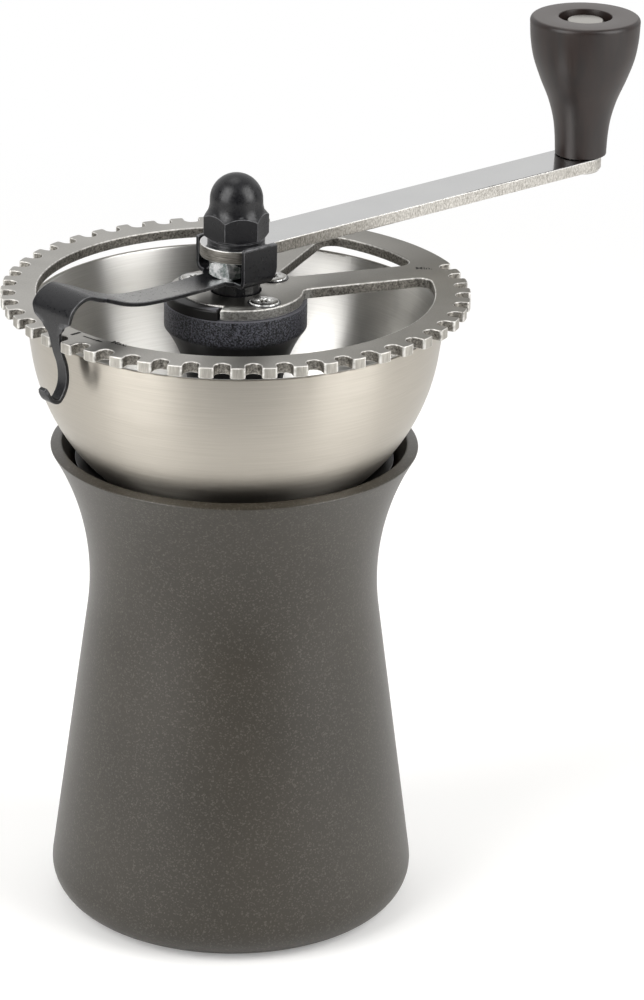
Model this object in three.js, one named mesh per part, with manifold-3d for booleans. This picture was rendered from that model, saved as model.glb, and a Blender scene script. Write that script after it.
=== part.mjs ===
// Manual coffee grinder with a cog wheel for setting the grind.
// Millimetres, +Z up, origin on the table at the grinder's turning axis.
// A wooden receptacle carries a steel bowl. A column in the bowl carries the cog wheel, and the crank's
// shaft hangs in the wheel's thread: turning wheel against crank lifts or lowers the inner burr.

import * as THREE from 'three';
import { mergeVertices } from 'three/addons/utils/BufferGeometryUtils.js';
import Module from 'manifold-3d';

const wasm = await Module();
wasm.setup();

// Clearances
const gap = 0.3;
const sealSqueezeGap = 0.2;
const skirtGap = 0.6;
const mouthGap = 0.8;
const overrun = 1;

// Wooden receptacle
const bodyHeight = 113.2;
const bodyFootRadius = 42.2;
const bodyFootRounding = 8.5;
const bodyWaistWall = 4.7;
const bodyNeckHeight = 32.8;
const bodyLipFall = 0.75;
const bodyLipWidth = 2.6;
const bodyLipClearance = 2.84;
const bodyLedgeDepth = 17.2;
const bodySeatDepth = 3;
const bodyLedgeWidth = 2.5;
const bodyFloorThickness = 8;
const bodyFloorCorner = 5;

// Steel bowl
const bowlRadius = 46.6;
const bowlRimRise = 1.6;
const bowlWall = 1;
const throatRadius = 17.2;

// Collar between bowl and receptacle, with its rubber seal
const collarRise = 7.3;
const collarPlateThickness = 4;
const collarSkirtDepth = 12;
const collarSkirtWall = 2.5;
const collarRingWidth = 2.2;
const collarRingSink = 3.8;
const collarRingRounding = 0.6;
const sealHeight = 2.2;
const sealWidth = 1.1;
const sealStandOut = 0.4;
const sealDrop = 6.7;

// Burrs and their housing
const outerBurrHeight = 22.4;
const outerBurrThroatInset = 0.6;
const outerBurrFlare = 1.9;
const outerBurrWall = 3.8;
const outerBurrTopTooth = 2.4;
const outerBurrFootTooth = 0.8;
const outerBurrTeeth = 12;
const outerBurrTwist = -40;
const innerBurrHeight = 19.5;
const innerBurrTopRadius = 9.6;
const innerBurrFootGap = 0.9;
const innerBurrBandHeight = 5;
const innerBurrBandTaper = 0.4;
const innerBurrTopTooth = 2.6;
const innerBurrFootTooth = 0.7;
const innerBurrTeeth = 8;
const innerBurrTwist = 100;
const housingWall = 2.2;
const housingHeadHeight = 6;
const housingSkirt = 2;
const clipThickness = 1.2;
const clipDepth = 1.2;
const clipWidth = 2.7;
const clipOpening = 28;
const burrWasherRadius = 7;
const burrWasherThickness = 1.2;
const burrNutAcrossFlats = 10;
const burrNutHeight = 5;
const springLength = 8.1;
const springWireRadius = 0.5;
const springRadius = 5.6;
const springTurns = 3;

// Bearing column on its three-armed spider, with bushes and thrust washer
const columnHeight = 16.1;
const columnRadius = 9.6;
const columnBossDepth = 6;
const columnBossRadius = 8.8;
const spiderThickness = 3;
const spiderArmWidth = 5.6;
const spiderFootRadius = 3.95;
const spiderRibThickness = 2.4;
const spiderRibHeight = 12;
const spiderAngles = [90, 210, 330];
const bushWall = 1.7;
const upperBushLength = 8;
const lowerBushLength = 10;
const bushFlangeThickness = 1.2;
const bushFlangeRadius = 8;
const thrustWasherThickness = 1.2;
const thrustWasherRadius = 9.4;
const columnScrewRadius = 1.5;
const columnScrewHeadRadius = 2.75;
const columnScrewHeadHeight = 3;
const columnScrewBite = 3;

// Shaft
const shaftRadius = 4;
const shaftSlipFlatDepth = 0.4;
const shaftTopFlatDepth = 1.1;
const shaftBurrStep = 0.6;
const shaftBurrFlatDepth = 0.6;
const shaftEndStep = 0.4;
const shaftEndLength = 1;
const shaftTopGap = 1.4;
const slipFlatLength = 1.6;

// Adjuster hub with its threaded insert
const hubRadius = 16.2;
const hubFootRadius = 10.3;
const hubBandHeight = 5.9;
const hubFlareShare = 0.776;
const hubPadRise = 1.7;
const hubEdgeRounding = 1.2;
const insertAcrossFlats = 12;
const insertDepth = 8.7;
const insertBossRadius = 5.5;
const insertBossRise = 4.8;
const hubScrewRadius = 1.5;
const hubScrewDepth = 8;
const hubScrewHeadRadius = 3.35;
const hubScrewHeadHeight = 1.9;
const hubScrewCrown = 0.6;
const hubScrewCircle = 11.4;
const hubScrewAngles = [-56, 44, 144];

// Cog wheel
const wheelLift = 3.33;
const wheelThickness = 2.5;
const wheelOverhang = 6.4;
const wheelRingWidth = 8.1;
const wheelHubRadius = 15.3;
const wheelHubBandRadius = 9;
const wheelCutoutStart = 189;
const wheelCutoutEnd = 257;
const notchAngle = 7.5;
const notchCount = 41;
const firstNotchAngle = 79.4;
const fingerNotch = 19;
const notchWidth = 3.7;
const notchDepth = 4.5;
const spokeAngles = [18.5, 68];
const spokeWidth = 9.2;
const spokeHubFillet = 2;
const spokeRimFillet = 3;

// Crank with its nuts and washer
const crankAzimuth = 40.1;
const crankWidth = 12;
const crankThickness = 3;
const crankEyeRadius = 8.2;
const crankEyeFillet = 5;
const crankLength = 107.4;
const crankEndInset = 1.4;
const nutAcrossFlats = 13;
const lockNutHeight = 4.3;
const lockNutAngle = 37.4;
const nutChamfer = 0.9;
const crankWasherRadius = 7;
const crankWasherThickness = 1.05;
const domeNutHexHeight = 6.2;
const domeNutHeight = 14.8;
const domeRadius = 6;
const domeNutAngle = 9.6;
const domeRoof = 2.4;

// Index strip: bracket under the lock nut, arm, head and finger
const bracketLift = 0.75;
const stripThickness = 1;
const flangeHeight = 9.05;
const flangeLength = 9.9;
const flangeOffset = -0.85;
const flangeFootRounding = 4;
const flangeTopRounding = 1.2;
const bendRadius = 1;
const bracketDiscRadius = 7.6;
const fingerStandOut = 0.4;
const fingerClearance = 0.35;
const stripDrop = 17.65;
const armWidth = 8;
const headWidth = 13;
const stripSplitShare = 0.572;

// Knob with its pin, bush and washer
const knobHeight = 33.05;
const knobTopRadius = 13.1;
const knobTopRounding = 1.1;
const knobRecessRadius = 6.3;
const knobRecessDepth = 3.2;
const knobPinRadius = 3;
const knobPinHeadRadius = 4.6;
const knobPinHeadHeight = 2.1;
const knobPinRivetRadius = 4.6;
const knobPinRivetHeight = 1;
const knobBushWall = 0.9;
const knobWasherRadius = 5.9;
const knobWasherThickness = 0.85;

// Counts
const largeTurn = 48;
const middleTurn = 32;
const smallTurn = 16;
const screwTurn = 10;
const arcStep = 10;
const fineArcStep = 30;

// Places that follow from the sizes above, all measured from the table
const ledgeZ = bodyHeight - bodyLedgeDepth;
const bowlZ = ledgeZ + collarRise;
const columnScrewCircle = throatRadius + gap + spiderFootRadius;
const bowlFloorRadius = columnScrewCircle + spiderFootRadius + gap;
const bowlCentreRise = bowlWall + Math.sqrt((bowlRadius - bowlWall) ** 2 - bowlFloorRadius ** 2);
const bowlFlatRadius = Math.sqrt(bowlRadius ** 2 - bowlCentreRise ** 2);
const columnZ = bowlZ + bowlWall;
const thrustWasherZ = columnZ + columnHeight;
const hubZ = thrustWasherZ + thrustWasherThickness;
const wheelZ = bowlZ + bowlCentreRise + bowlRimRise + wheelLift;
const hubHeight = wheelZ - hubZ;
const hubFlareTop = hubHeight - hubBandHeight;
const hubFlareSemiAxis = hubFlareTop / hubFlareShare;
const wheelTopZ = wheelZ + wheelThickness;
const bossTopZ = wheelZ + insertBossRise;
const bracketZ = bossTopZ + bracketLift;
const lockNutZ = bracketZ + stripThickness;
const crankZ = lockNutZ + lockNutHeight;
const crankTopZ = crankZ + crankThickness;
const domeNutZ = crankTopZ + crankWasherThickness;
const domeBoreDepth = domeNutHeight - domeRoof;
const shaftTopZ = domeNutZ + domeBoreDepth - shaftTopGap;
const collarPlateZ = bowlZ - collarPlateThickness;
const outerBurrTopZ = collarPlateZ - housingHeadHeight;
const outerBurrZ = outerBurrTopZ - outerBurrHeight;
const housingZ = outerBurrZ - clipThickness - gap - housingSkirt;
const lowerBushZ = columnZ - columnBossDepth - bushFlangeThickness;
const innerBurrTopZ = lowerBushZ - springLength;
const innerBurrZ = innerBurrTopZ - innerBurrHeight;
const burrWasherZ = innerBurrZ - burrWasherThickness;
const burrNutZ = burrWasherZ - burrNutHeight;
const shaftZ = burrNutZ - shaftEndLength;
const knobZ = crankTopZ + knobWasherThickness;

// Radii that follow
const shaftSlipFlat = shaftRadius - shaftSlipFlatDepth;
const shaftTopFlat = shaftRadius - shaftTopFlatDepth;
const shaftBurrRadius = shaftRadius - shaftBurrStep;
const shaftBurrFlat = shaftBurrRadius - shaftBurrFlatDepth;
const shaftEndRadius = shaftBurrRadius - shaftEndStep;
const boreRadius = shaftRadius + gap;
const bushRadius = boreRadius + bushWall;
const outerBurrTopRadius = throatRadius - outerBurrThroatInset;
const outerBurrFootRadius = outerBurrTopRadius + outerBurrFlare;
const outerBurrRadius = outerBurrFootRadius + outerBurrWall;
const innerBurrFootRadius = outerBurrFootRadius - innerBurrFootGap;
const housingRadius = outerBurrRadius + gap + housingWall;
const skirtInnerRadius = housingRadius + skirtGap;
const skirtRadius = skirtInnerRadius + collarSkirtWall;
const sealRadius = skirtRadius + sealStandOut;
const bodyBoreRadius = sealRadius + sealSqueezeGap;
const bodySeatRadius = bodyBoreRadius + bodyLedgeWidth;
const bodyWaistRadius = bodyBoreRadius + bodyWaistWall;
const bowlMouthRadius = Math.sqrt(bowlRadius ** 2 - (bowlCentreRise - (bodyHeight - bowlZ)) ** 2);
const bodyMouthRadius = bowlMouthRadius + bodyLipClearance;
const bodyLipRadius = bodyMouthRadius + bodyLipWidth;
const wheelRadius = bowlRadius + wheelOverhang;
const wheelInnerRadius = wheelRadius - wheelRingWidth;
const stripReach = wheelRadius + fingerStandOut;
const fingerWidth = notchWidth - 2 * fingerClearance;
const flangeInner = crankEyeRadius + gap;
const fingerAzimuth = firstNotchAngle + fingerNotch * notchAngle;
const knobBushRadius = knobPinRadius + gap + knobBushWall;

// Finishes: colour, roughness, metalness
const lacquer = [0x57534c, 0.6, 0];
const brushedSteel = [0xb5afa5, 0.35, 1];
const zincPlate = [0xa8a49c, 0.3, 1];
const blackOxide = [0x2a2826, 0.45, 0.8];
const blackPlastic = [0x201f1e, 0.6, 0];
const brass = [0xb08d4f, 0.35, 1];
const rubber = [0x1c1b1a, 0.9, 0];
const burrSteel = [0x8b8883, 0.4, 1];

// Drawing helpers

function toRadians(degrees) {
  return THREE.MathUtils.degToRad(degrees);
}

function toDegrees(radians) {
  return THREE.MathUtils.radToDeg(radians);
}

function polar(radius, degrees) {
  const angle = toRadians(degrees);
  return new THREE.Vector2(radius * Math.cos(angle), radius * Math.sin(angle));
}

function point(x, y) {
  return new THREE.Vector2(x, y);
}

// Points along an elliptical arc, from one angle to another in degrees, either way round.
function ellipse(x, y, radiusX, radiusY, from, to, step = arcStep) {
  const count = Math.max(1, Math.round(Math.abs(to - from) / step));
  const points = [];
  for (let i = 0; i <= count; i += 1) {
    const angle = toRadians(from + (to - from) * i / count);
    points.push(point(x + radiusX * Math.cos(angle), y + radiusY * Math.sin(angle)));
  }
  return points;
}

function arc(x, y, radius, from, to, step = arcStep) {
  return ellipse(x, y, radius, radius, from, to, step);
}

function circle(radius, count, x = 0, y = 0) {
  return arc(x, y, radius, 0, 360, 360 / count).slice(0, -1);
}

function turned(points, degrees) {
  return points.map((p) => p.clone().rotateAround(point(0, 0), toRadians(degrees)));
}

// A six-sided outline with its first corner on +X.
function hexagon(acrossFlats) {
  return circle(acrossFlats / Math.sqrt(3), 6);
}

// A round outline with two flats, as the shaft has.
function flattedCircle(radius, flat) {
  const corner = toDegrees(Math.asin(flat / radius));
  return [
    ...arc(0, 0, radius, -corner, corner),
    ...arc(0, 0, radius, 180 - corner, 180 + corner),
  ];
}

// Solid helpers

// Revolves a closed profile of radius and height about Z; it runs up its outer side and down its inner.
function revolve(profile, steps) {
  const geometry = new THREE.LatheGeometry([...profile, profile[0]], steps);
  return geometry.rotateX(Math.PI / 2);
}

// Extrudes an outline with holes upwards from z.
function plate(outline, holes, thickness, z = 0) {
  const shape = new THREE.Shape(outline);
  shape.holes = holes.map((hole) => new THREE.Path(hole));
  const geometry = new THREE.ExtrudeGeometry(shape, { depth: thickness, bevelEnabled: false });
  return geometry.translate(0, 0, z);
}

// Extrudes an outline drawn in X and Z along Y, centred on Y = 0.
function upright(outline, thickness) {
  const geometry = plate(outline, [], thickness, -thickness / 2);
  return geometry.rotateX(Math.PI / 2);
}

function cylinder(radius, height, z, steps = smallTurn) {
  return plate(circle(radius, steps), [], height, z);
}

function ring(radius, bore, height, steps) {
  return revolve([point(bore, 0), point(radius, 0), point(radius, height), point(bore, height)], steps);
}

// Merges shared corners and leaves out the triangles that have closed up on the axis.
function weld(geometry) {
  geometry.deleteAttribute('normal');
  geometry.deleteAttribute('uv');
  const merged = mergeVertices(geometry);
  const index = [];
  for (let i = 0; i < merged.index.count; i += 3) {
    const corners = [0, 1, 2].map((n) => merged.index.getX(i + n));
    if (new Set(corners).size === 3) {
      index.push(...corners);
    }
  }
  merged.setIndex(index);
  return merged;
}

function toSolid(geometry) {
  const welded = weld(geometry);
  return new wasm.Manifold(new wasm.Mesh({
    numProp: 3,
    vertProperties: new Float32Array(welded.attributes.position.array),
    triVerts: new Uint32Array(welded.index.array),
  }));
}

function toGeometry(solid) {
  const mesh = solid.getMesh();
  const geometry = new THREE.BufferGeometry();
  geometry.setAttribute('position', new THREE.BufferAttribute(mesh.vertProperties, 3));
  geometry.setIndex(new THREE.BufferAttribute(mesh.triVerts, 1));
  return geometry;
}

function join(...geometries) {
  return toGeometry(geometries.map(toSolid).reduce((whole, piece) => whole.add(piece)));
}

function cut(geometry, ...tools) {
  return toGeometry(tools.map(toSolid).reduce((whole, tool) => whole.subtract(tool), toSolid(geometry)));
}

function common(geometry, tool) {
  return toGeometry(toSolid(geometry).intersect(toSolid(tool)));
}

// Skins a stack of rings that all have the same number of points, and closes both ends from their middles.
function skin(rings) {
  const count = rings[0].length;
  const positions = [];
  const index = [];
  rings.flat().forEach((p) => positions.push(p.x, p.y, p.z));
  for (let level = 0; level < rings.length - 1; level += 1) {
    for (let i = 0; i < count; i += 1) {
      const a = level * count + i;
      const b = level * count + (i + 1) % count;
      index.push(a, b, b + count, a, b + count, a + count);
    }
  }
  [0, rings.length - 1].forEach((level) => {
    const middle = rings[level].reduce((sum, p) => sum.add(p), new THREE.Vector3()).divideScalar(count);
    const hub = positions.length / 3;
    positions.push(middle.x, middle.y, middle.z);
    for (let i = 0; i < count; i += 1) {
      const a = level * count + i;
      const b = level * count + (i + 1) % count;
      index.push(...(level === 0 ? [b, a, hub] : [a, b, hub]));
    }
  });
  const geometry = new THREE.BufferGeometry();
  geometry.setAttribute('position', new THREE.Float32BufferAttribute(positions, 3));
  geometry.setIndex(index);
  return geometry;
}

// Scene helpers

function place(parent, name, geometry, [color, roughness, metalness], x, y, z, degrees = 0) {
  const material = new THREE.MeshStandardMaterial({ color, roughness, metalness });
  const mesh = new THREE.Mesh(geometry, material);
  mesh.name = name;
  mesh.position.set(x, y, z);
  mesh.rotation.z = toRadians(degrees);
  parent.add(mesh);
}

// Wooden receptacle: a tapered foot, a waist, a flared neck with a narrow lip, and a deep bore.

// The neck's outside is an arc that stands upright at the waist and reaches the lip.
const neckZ = bodyHeight - bodyNeckHeight;
const neckRise = bodyNeckHeight - bodyLipFall;
const neckFlare = bodyLipRadius - bodyWaistRadius;
const neckRadius = (neckRise ** 2 + neckFlare ** 2) / (2 * neckFlare);
const neckX = bodyWaistRadius + neckRadius;
const mouthCurveRadius = Math.hypot(neckX - bodyMouthRadius, bodyNeckHeight);

// The angle on a curve about the neck's centre at a height, from the level.
function neckAngle(radius, z) {
  return toDegrees(Math.asin((z - neckZ) / radius));
}

// A curve about the neck's centre, from one height to another.
function neckCurve(radius, fromZ, toZ) {
  return arc(neckX, neckZ, radius, 180 - neckAngle(radius, fromZ), 180 - neckAngle(radius, toZ), arcStep / 2);
}

function receptacleOutside() {
  const foot = point(bodyFootRadius - bodyFootRounding, bodyFootRounding);
  const neck = point(neckX, neckZ);
  const between = neck.clone().sub(foot);
  const reach = (neckRadius + bodyFootRounding) / between.length();
  const taper = toDegrees(between.angle() - Math.acos(reach));
  const rim = neckAngle(neckRadius, neckZ + neckRise);
  return [
    ...arc(foot.x, foot.y, bodyFootRounding, -90, taper, 2 * arcStep),
    ...arc(neck.x, neck.y, neckRadius, 180 + taper, 180 - rim, arcStep / 2),
  ];
}

function receptacle() {
  const shoulderZ = ledgeZ + bodySeatDepth;
  const cornerRadius = bodyBoreRadius - bodyFloorCorner;
  const cornerZ = bodyFloorThickness + bodyFloorCorner;
  return revolve([
    point(0, 0),
    ...receptacleOutside(),
    ...neckCurve(mouthCurveRadius, bodyHeight, shoulderZ),
    point(bodySeatRadius, shoulderZ),
    point(bodySeatRadius, ledgeZ),
    point(bodyBoreRadius, ledgeZ),
    ...arc(cornerRadius, cornerZ, bodyFloorCorner, 0, -90, fineArcStep),
    point(0, bodyFloorThickness),
  ], largeTurn);
}

// Steel bowl: most of a hemisphere on a flat bottom with the throat and three screw holes.

function bowl() {
  const innerRadius = bowlRadius - bowlWall;
  const flatAngle = toDegrees(Math.asin(bowlCentreRise / bowlRadius));
  const floorAngle = toDegrees(Math.asin((bowlCentreRise - bowlWall) / innerRadius));
  const rimAngle = toDegrees(Math.asin(bowlRimRise / bowlRadius));
  const innerRimAngle = toDegrees(Math.asin(bowlRimRise / innerRadius));
  const shell = revolve([
    point(throatRadius, 0),
    ...arc(0, bowlCentreRise, bowlRadius, -flatAngle, rimAngle),
    ...arc(0, bowlCentreRise, innerRadius, innerRimAngle, -floorAngle),
    point(throatRadius, bowlWall),
  ], largeTurn);
  return cut(shell, ...columnScrewHoles(-overrun, bowlWall + 2 * overrun));
}

function columnScrewHoles(z, depth) {
  return spiderAngles.map((angle) => {
    const at = polar(columnScrewCircle, angle);
    return cylinder(columnScrewRadius + gap, depth, z, screwTurn).translate(at.x, at.y, 0);
  });
}

// Collar: a skirt in the receptacle's bore, a flange on its ledge and a dished ring round the bowl.
// Its heights are measured from the table and then from the ledge.

function collar() {
  const curveRadius = mouthCurveRadius + mouthGap;
  const curveZ = ledgeZ + bodySeatDepth + mouthGap;
  const ringZ = bodyHeight - collarRingSink;
  const shoulderZ = ringZ - collarRingRounding;
  const outside = neckCurve(curveRadius, curveZ, shoulderZ);
  const ringRadius = outside.at(-1).x;
  const ringInner = ringRadius - collarRingWidth;
  const grooveDepth = sealWidth - sealStandOut + gap;
  const grooveMiddle = ledgeZ - sealDrop;
  const grooveHalf = sealHeight / 2 + gap;
  const blank = revolve([
    point(throatRadius, collarPlateZ),
    point(skirtInnerRadius, collarPlateZ),
    point(skirtInnerRadius, ledgeZ - collarSkirtDepth),
    point(skirtRadius, ledgeZ - collarSkirtDepth),
    point(skirtRadius, grooveMiddle - grooveHalf),
    point(skirtRadius - grooveDepth, grooveMiddle - grooveHalf),
    point(skirtRadius - grooveDepth, grooveMiddle + grooveHalf),
    point(skirtRadius, grooveMiddle + grooveHalf),
    point(skirtRadius, ledgeZ),
    point(bodySeatRadius - gap, ledgeZ),
    point(bodySeatRadius - gap, ledgeZ + bodySeatDepth + gap),
    ...outside,
    ...arc(ringRadius - collarRingRounding, shoulderZ, collarRingRounding, fineArcStep, 90, fineArcStep),
    ...arc(ringInner + collarRingRounding, shoulderZ, collarRingRounding, 90, 180, 2 * fineArcStep),
    point(bowlFlatRadius + gap, bowlZ),
    point(throatRadius, bowlZ),
  ], middleTurn);
  return cut(blank.translate(0, 0, -ledgeZ), ...columnScrewHoles(-overrun, collarRise + 2 * overrun));
}

function seal() {
  const middle = sealRadius - sealWidth / 2;
  return revolve(ellipse(middle, 0, sealWidth / 2, sealHeight / 2, -90, 270, 2 * fineArcStep).slice(0, -1), middleTurn);
}

// Burr housing: a barrel that the outer burr slides into from below, with three tapped holes in its head.

function burrHousing() {
  const height = collarPlateZ - housingZ;
  const seatZ = outerBurrTopZ - housingZ;
  const grooveTop = outerBurrZ - housingZ;
  const grooveFoot = grooveTop - clipThickness - gap;
  const boreR = outerBurrRadius + gap;
  const blank = revolve([
    point(boreR, 0),
    point(housingRadius, 0),
    point(housingRadius, height),
    point(throatRadius, height),
    point(throatRadius, seatZ),
    point(boreR, seatZ),
    point(boreR, grooveTop + gap),
    point(boreR + clipDepth, grooveTop + gap),
    point(boreR + clipDepth, grooveFoot),
    point(boreR, grooveFoot),
  ], middleTurn);
  return cut(blank, ...columnScrewHoles(height - columnScrewBite - gap, columnScrewBite + gap + overrun));
}

// One tooth, round from its cutting edge: how far each point lies below the edge, as a share of its depth.
const toothShares = [0, 1, 0.75, 0.45, 0.2];

function burrRing(radius, depth, teeth, twist, z, outwards) {
  const count = teeth * toothShares.length;
  return Array.from({ length: count }, (_, i) => {
    const drop = depth * toothShares[i % toothShares.length];
    const p = polar(radius + (outwards ? drop : -drop), 360 * i / count + twist);
    return new THREE.Vector3(p.x, p.y, z);
  });
}

function lerp(a, b, share) {
  return a + (b - a) * share;
}

const burrLevels = 5;

function outerBurr() {
  const rings = Array.from({ length: burrLevels + 1 }, (_, i) => {
    const share = i / burrLevels;
    const radius = lerp(outerBurrFootRadius, outerBurrTopRadius, share);
    const depth = lerp(outerBurrFootTooth, outerBurrTopTooth, share);
    const z = lerp(-overrun, outerBurrHeight + overrun, share);
    return burrRing(radius, depth, outerBurrTeeth, outerBurrTwist * share, z, true);
  });
  return cut(cylinder(outerBurrRadius, outerBurrHeight, 0, middleTurn), skin(rings));
}

// The inner burr's edge radius: a nearly straight fine band below, a steep cone with feeding flutes above.
function innerBurrEdge(z) {
  const bandTop = innerBurrFootRadius - innerBurrBandTaper;
  if (z < innerBurrBandHeight) {
    return lerp(innerBurrFootRadius, bandTop, z / innerBurrBandHeight);
  }
  const share = (z - innerBurrBandHeight) / (innerBurrHeight - innerBurrBandHeight);
  return lerp(bandTop, innerBurrTopRadius, share);
}

function innerBurr() {
  const rings = Array.from({ length: burrLevels + 1 }, (_, i) => {
    const share = i / burrLevels;
    const z = innerBurrHeight * share;
    const depth = lerp(innerBurrFootTooth, innerBurrTopTooth, share);
    return burrRing(innerBurrEdge(z), depth, innerBurrTeeth, innerBurrTwist * share, z, false);
  });
  const bore = flattedCircle(shaftBurrRadius + gap, shaftBurrFlat + gap);
  return cut(skin(rings), plate(bore, [], innerBurrHeight + 2 * overrun, -overrun));
}

function burrClip() {
  const outer = outerBurrRadius + gap + clipDepth - gap;
  const half = clipOpening / 2;
  const outline = [
    ...arc(0, 0, outer, half, 360 - half),
    ...arc(0, 0, outer - clipWidth, 360 - half, half),
  ];
  return plate(outline, [], clipThickness);
}

// Spring between the lower bush and the inner burr: one unbroken coil with straight ends.

class SpringPath extends THREE.Curve {
  getPoint(share) {
    const straight = 2 * springWireRadius;
    const z = share * springLengthFree;
    const coil = springLengthFree - 2 * straight;
    const along = THREE.MathUtils.clamp((z - straight) / coil, 0, 1);
    const p = polar(springRadius, 360 * springTurns * along);
    return new THREE.Vector3(p.x, p.y, z);
  }
}

const springLengthFree = springLength - gap;

function springPoints() {
  const path = new SpringPath();
  const straightShare = 2 * springWireRadius / springLengthFree;
  const steps = springTurns * 8;
  const shares = [0];
  for (let i = 0; i <= steps; i += 1) {
    shares.push(lerp(straightShare, 1 - straightShare, i / steps));
  }
  shares.push(1);
  return shares.map((share) => path.getPoint(share));
}

// The tube's rings lie square to the path, and the end rings lie flat.
function spring() {
  const points = springPoints();
  const up = new THREE.Vector3(0, 0, 1);
  const rings = points.map((p, i) => {
    const isEnd = i === 0 || i === points.length - 1;
    const before = points[Math.max(i - 1, 0)];
    const after = points[Math.min(i + 1, points.length - 1)];
    const along = isEnd ? up : after.clone().sub(before).normalize();
    const radial = new THREE.Vector3(p.x, p.y, 0).normalize();
    const side = new THREE.Vector3().crossVectors(along, radial).normalize();
    return circle(springWireRadius, 5).map((c) => p.clone().addScaledVector(radial, c.x).addScaledVector(side, c.y));
  });
  return skin(rings);
}

function springLeastGap() {
  const pitch = (springLengthFree - 4 * springWireRadius) / springTurns;
  return pitch - 2 * springWireRadius;
}

// Bearing column: a tube on a three-armed spider, each arm stiffened by a rib and ending in a screw foot.

function column() {
  const tube = revolve([
    point(0, -columnBossDepth),
    point(columnBossRadius, -columnBossDepth),
    point(columnBossRadius, 0),
    point(columnRadius, 0),
    point(columnRadius, columnHeight),
    point(0, columnHeight),
  ], middleTurn);
  const arms = spiderAngles.map((angle) => spiderArm().rotateZ(toRadians(angle)));
  const bore = cylinder(bushRadius + gap, columnHeight + columnBossDepth + 2 * overrun, -columnBossDepth - overrun);
  return cut(join(tube, ...arms), bore, ...columnScrewHoles(-overrun, spiderThickness + 2 * overrun));
}

function spiderArm() {
  const half = spiderArmWidth / 2;
  const bend = toDegrees(Math.asin(half / spiderFootRadius));
  const foot = plate([
    point(0, -half),
    ...arc(columnScrewCircle, 0, spiderFootRadius, -180 + bend, 180 - bend, 2 * arcStep),
    point(0, half),
  ], [], spiderThickness);
  const ribEnd = throatRadius;
  const root = bushRadius + bushWall;
  const ribMiddle = spiderThickness / 2;
  const rib = upright([
    point(root, ribMiddle),
    point(ribEnd, ribMiddle),
    ...ellipse(ribEnd, spiderRibHeight, ribEnd - columnRadius, spiderRibHeight - spiderThickness, 270, 180, 2 * arcStep),
    point(root, spiderRibHeight),
  ], spiderRibThickness);
  return join(foot, rib);
}

function lowerBush() {
  return revolve([
    point(boreRadius, 0),
    point(bushFlangeRadius, 0),
    point(bushFlangeRadius, bushFlangeThickness),
    point(bushRadius, bushFlangeThickness),
    point(bushRadius, bushFlangeThickness + lowerBushLength),
    point(boreRadius, bushFlangeThickness + lowerBushLength),
  ], smallTurn);
}

function thrustWasher() {
  const bore = flattedCircle(shaftRadius + gap, shaftSlipFlat + gap);
  return plate(circle(thrustWasherRadius, middleTurn), [bore], thrustWasherThickness);
}

// Screws and nuts

function capScrew(radius, length, headRadius, headHeight, crown) {
  return revolve([
    point(0, -length),
    point(radius, -length),
    point(radius, 0),
    point(headRadius, 0),
    point(headRadius, headHeight - crown),
    ...ellipse(0, headHeight - crown, headRadius, crown, 45, 90, fineArcStep),
  ], screwTurn);
}

// A hexagon prism with its corners turned off at the top, and at the bottom too if asked.
function hexPrism(acrossFlats, height, chamferBottom) {
  const corner = acrossFlats / Math.sqrt(3);
  const face = acrossFlats / 2;
  const foot = chamferBottom ? [point(face, 0), point(corner, nutChamfer)] : [point(corner, 0)];
  const turnedBlank = revolve([
    point(0, 0),
    ...foot,
    point(corner, height - nutChamfer),
    point(face, height),
    point(0, height),
  ], 2 * screwTurn);
  return common(plate(hexagon(acrossFlats), [], height), turnedBlank);
}

function nut(acrossFlats, height, bore) {
  return cut(hexPrism(acrossFlats, height, true), cylinder(bore, height + 2 * overrun, -overrun));
}

function domeNut() {
  const shoulder = domeNutHeight - domeRadius;
  const dome = revolve([
    point(0, domeNutHexHeight / 2),
    point(domeRadius, domeNutHexHeight / 2),
    ...arc(0, shoulder, domeRadius, 0, 90, 2 * arcStep),
  ], smallTurn);
  const whole = join(hexPrism(nutAcrossFlats, domeNutHexHeight, false), dome);
  return cut(whole, cylinder(boreRadius, domeBoreDepth + overrun, -overrun));
}

// Shaft: turned in one piece, with flats for the thrust washer, the bracket, the crank and the inner burr.

function flatCutters(flat, from, to) {
  return [1, -1].map((side) => {
    const cutter = new THREE.BoxGeometry(4 * shaftRadius, 2 * shaftRadius, to - from);
    return cutter.translate(0, side * (flat + shaftRadius), (from + to) / 2);
  });
}

function shaft() {
  const blank = revolve([
    point(0, 0),
    point(shaftEndRadius, 0),
    point(shaftEndRadius, innerBurrZ - shaftZ),
    point(shaftBurrRadius, innerBurrZ - shaftZ),
    point(shaftBurrRadius, innerBurrTopZ - shaftZ),
    point(shaftRadius, innerBurrTopZ - shaftZ),
    point(shaftRadius, shaftTopZ - shaftZ),
    point(0, shaftTopZ - shaftZ),
  ], smallTurn);
  const slipFrom = thrustWasherZ - slipFlatLength - shaftZ;
  const bracketFrom = bracketZ - shaftZ;
  return cut(
    blank,
    ...flatCutters(shaftBurrFlat, innerBurrZ - shaftZ, innerBurrTopZ - shaftZ),
    ...flatCutters(shaftSlipFlat, slipFrom, bracketFrom),
    ...flatCutters(shaftTopFlat, bracketFrom, shaftTopZ - shaftZ + overrun),
  );
}

// Adjuster hub: a flared plastic housing under the wheel, with a raised pad in the wheel's cut-out.

function sector(radius, from, to, height, z) {
  return plate([point(0, 0), ...arc(0, 0, radius, from, to)], [], height, z);
}

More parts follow.
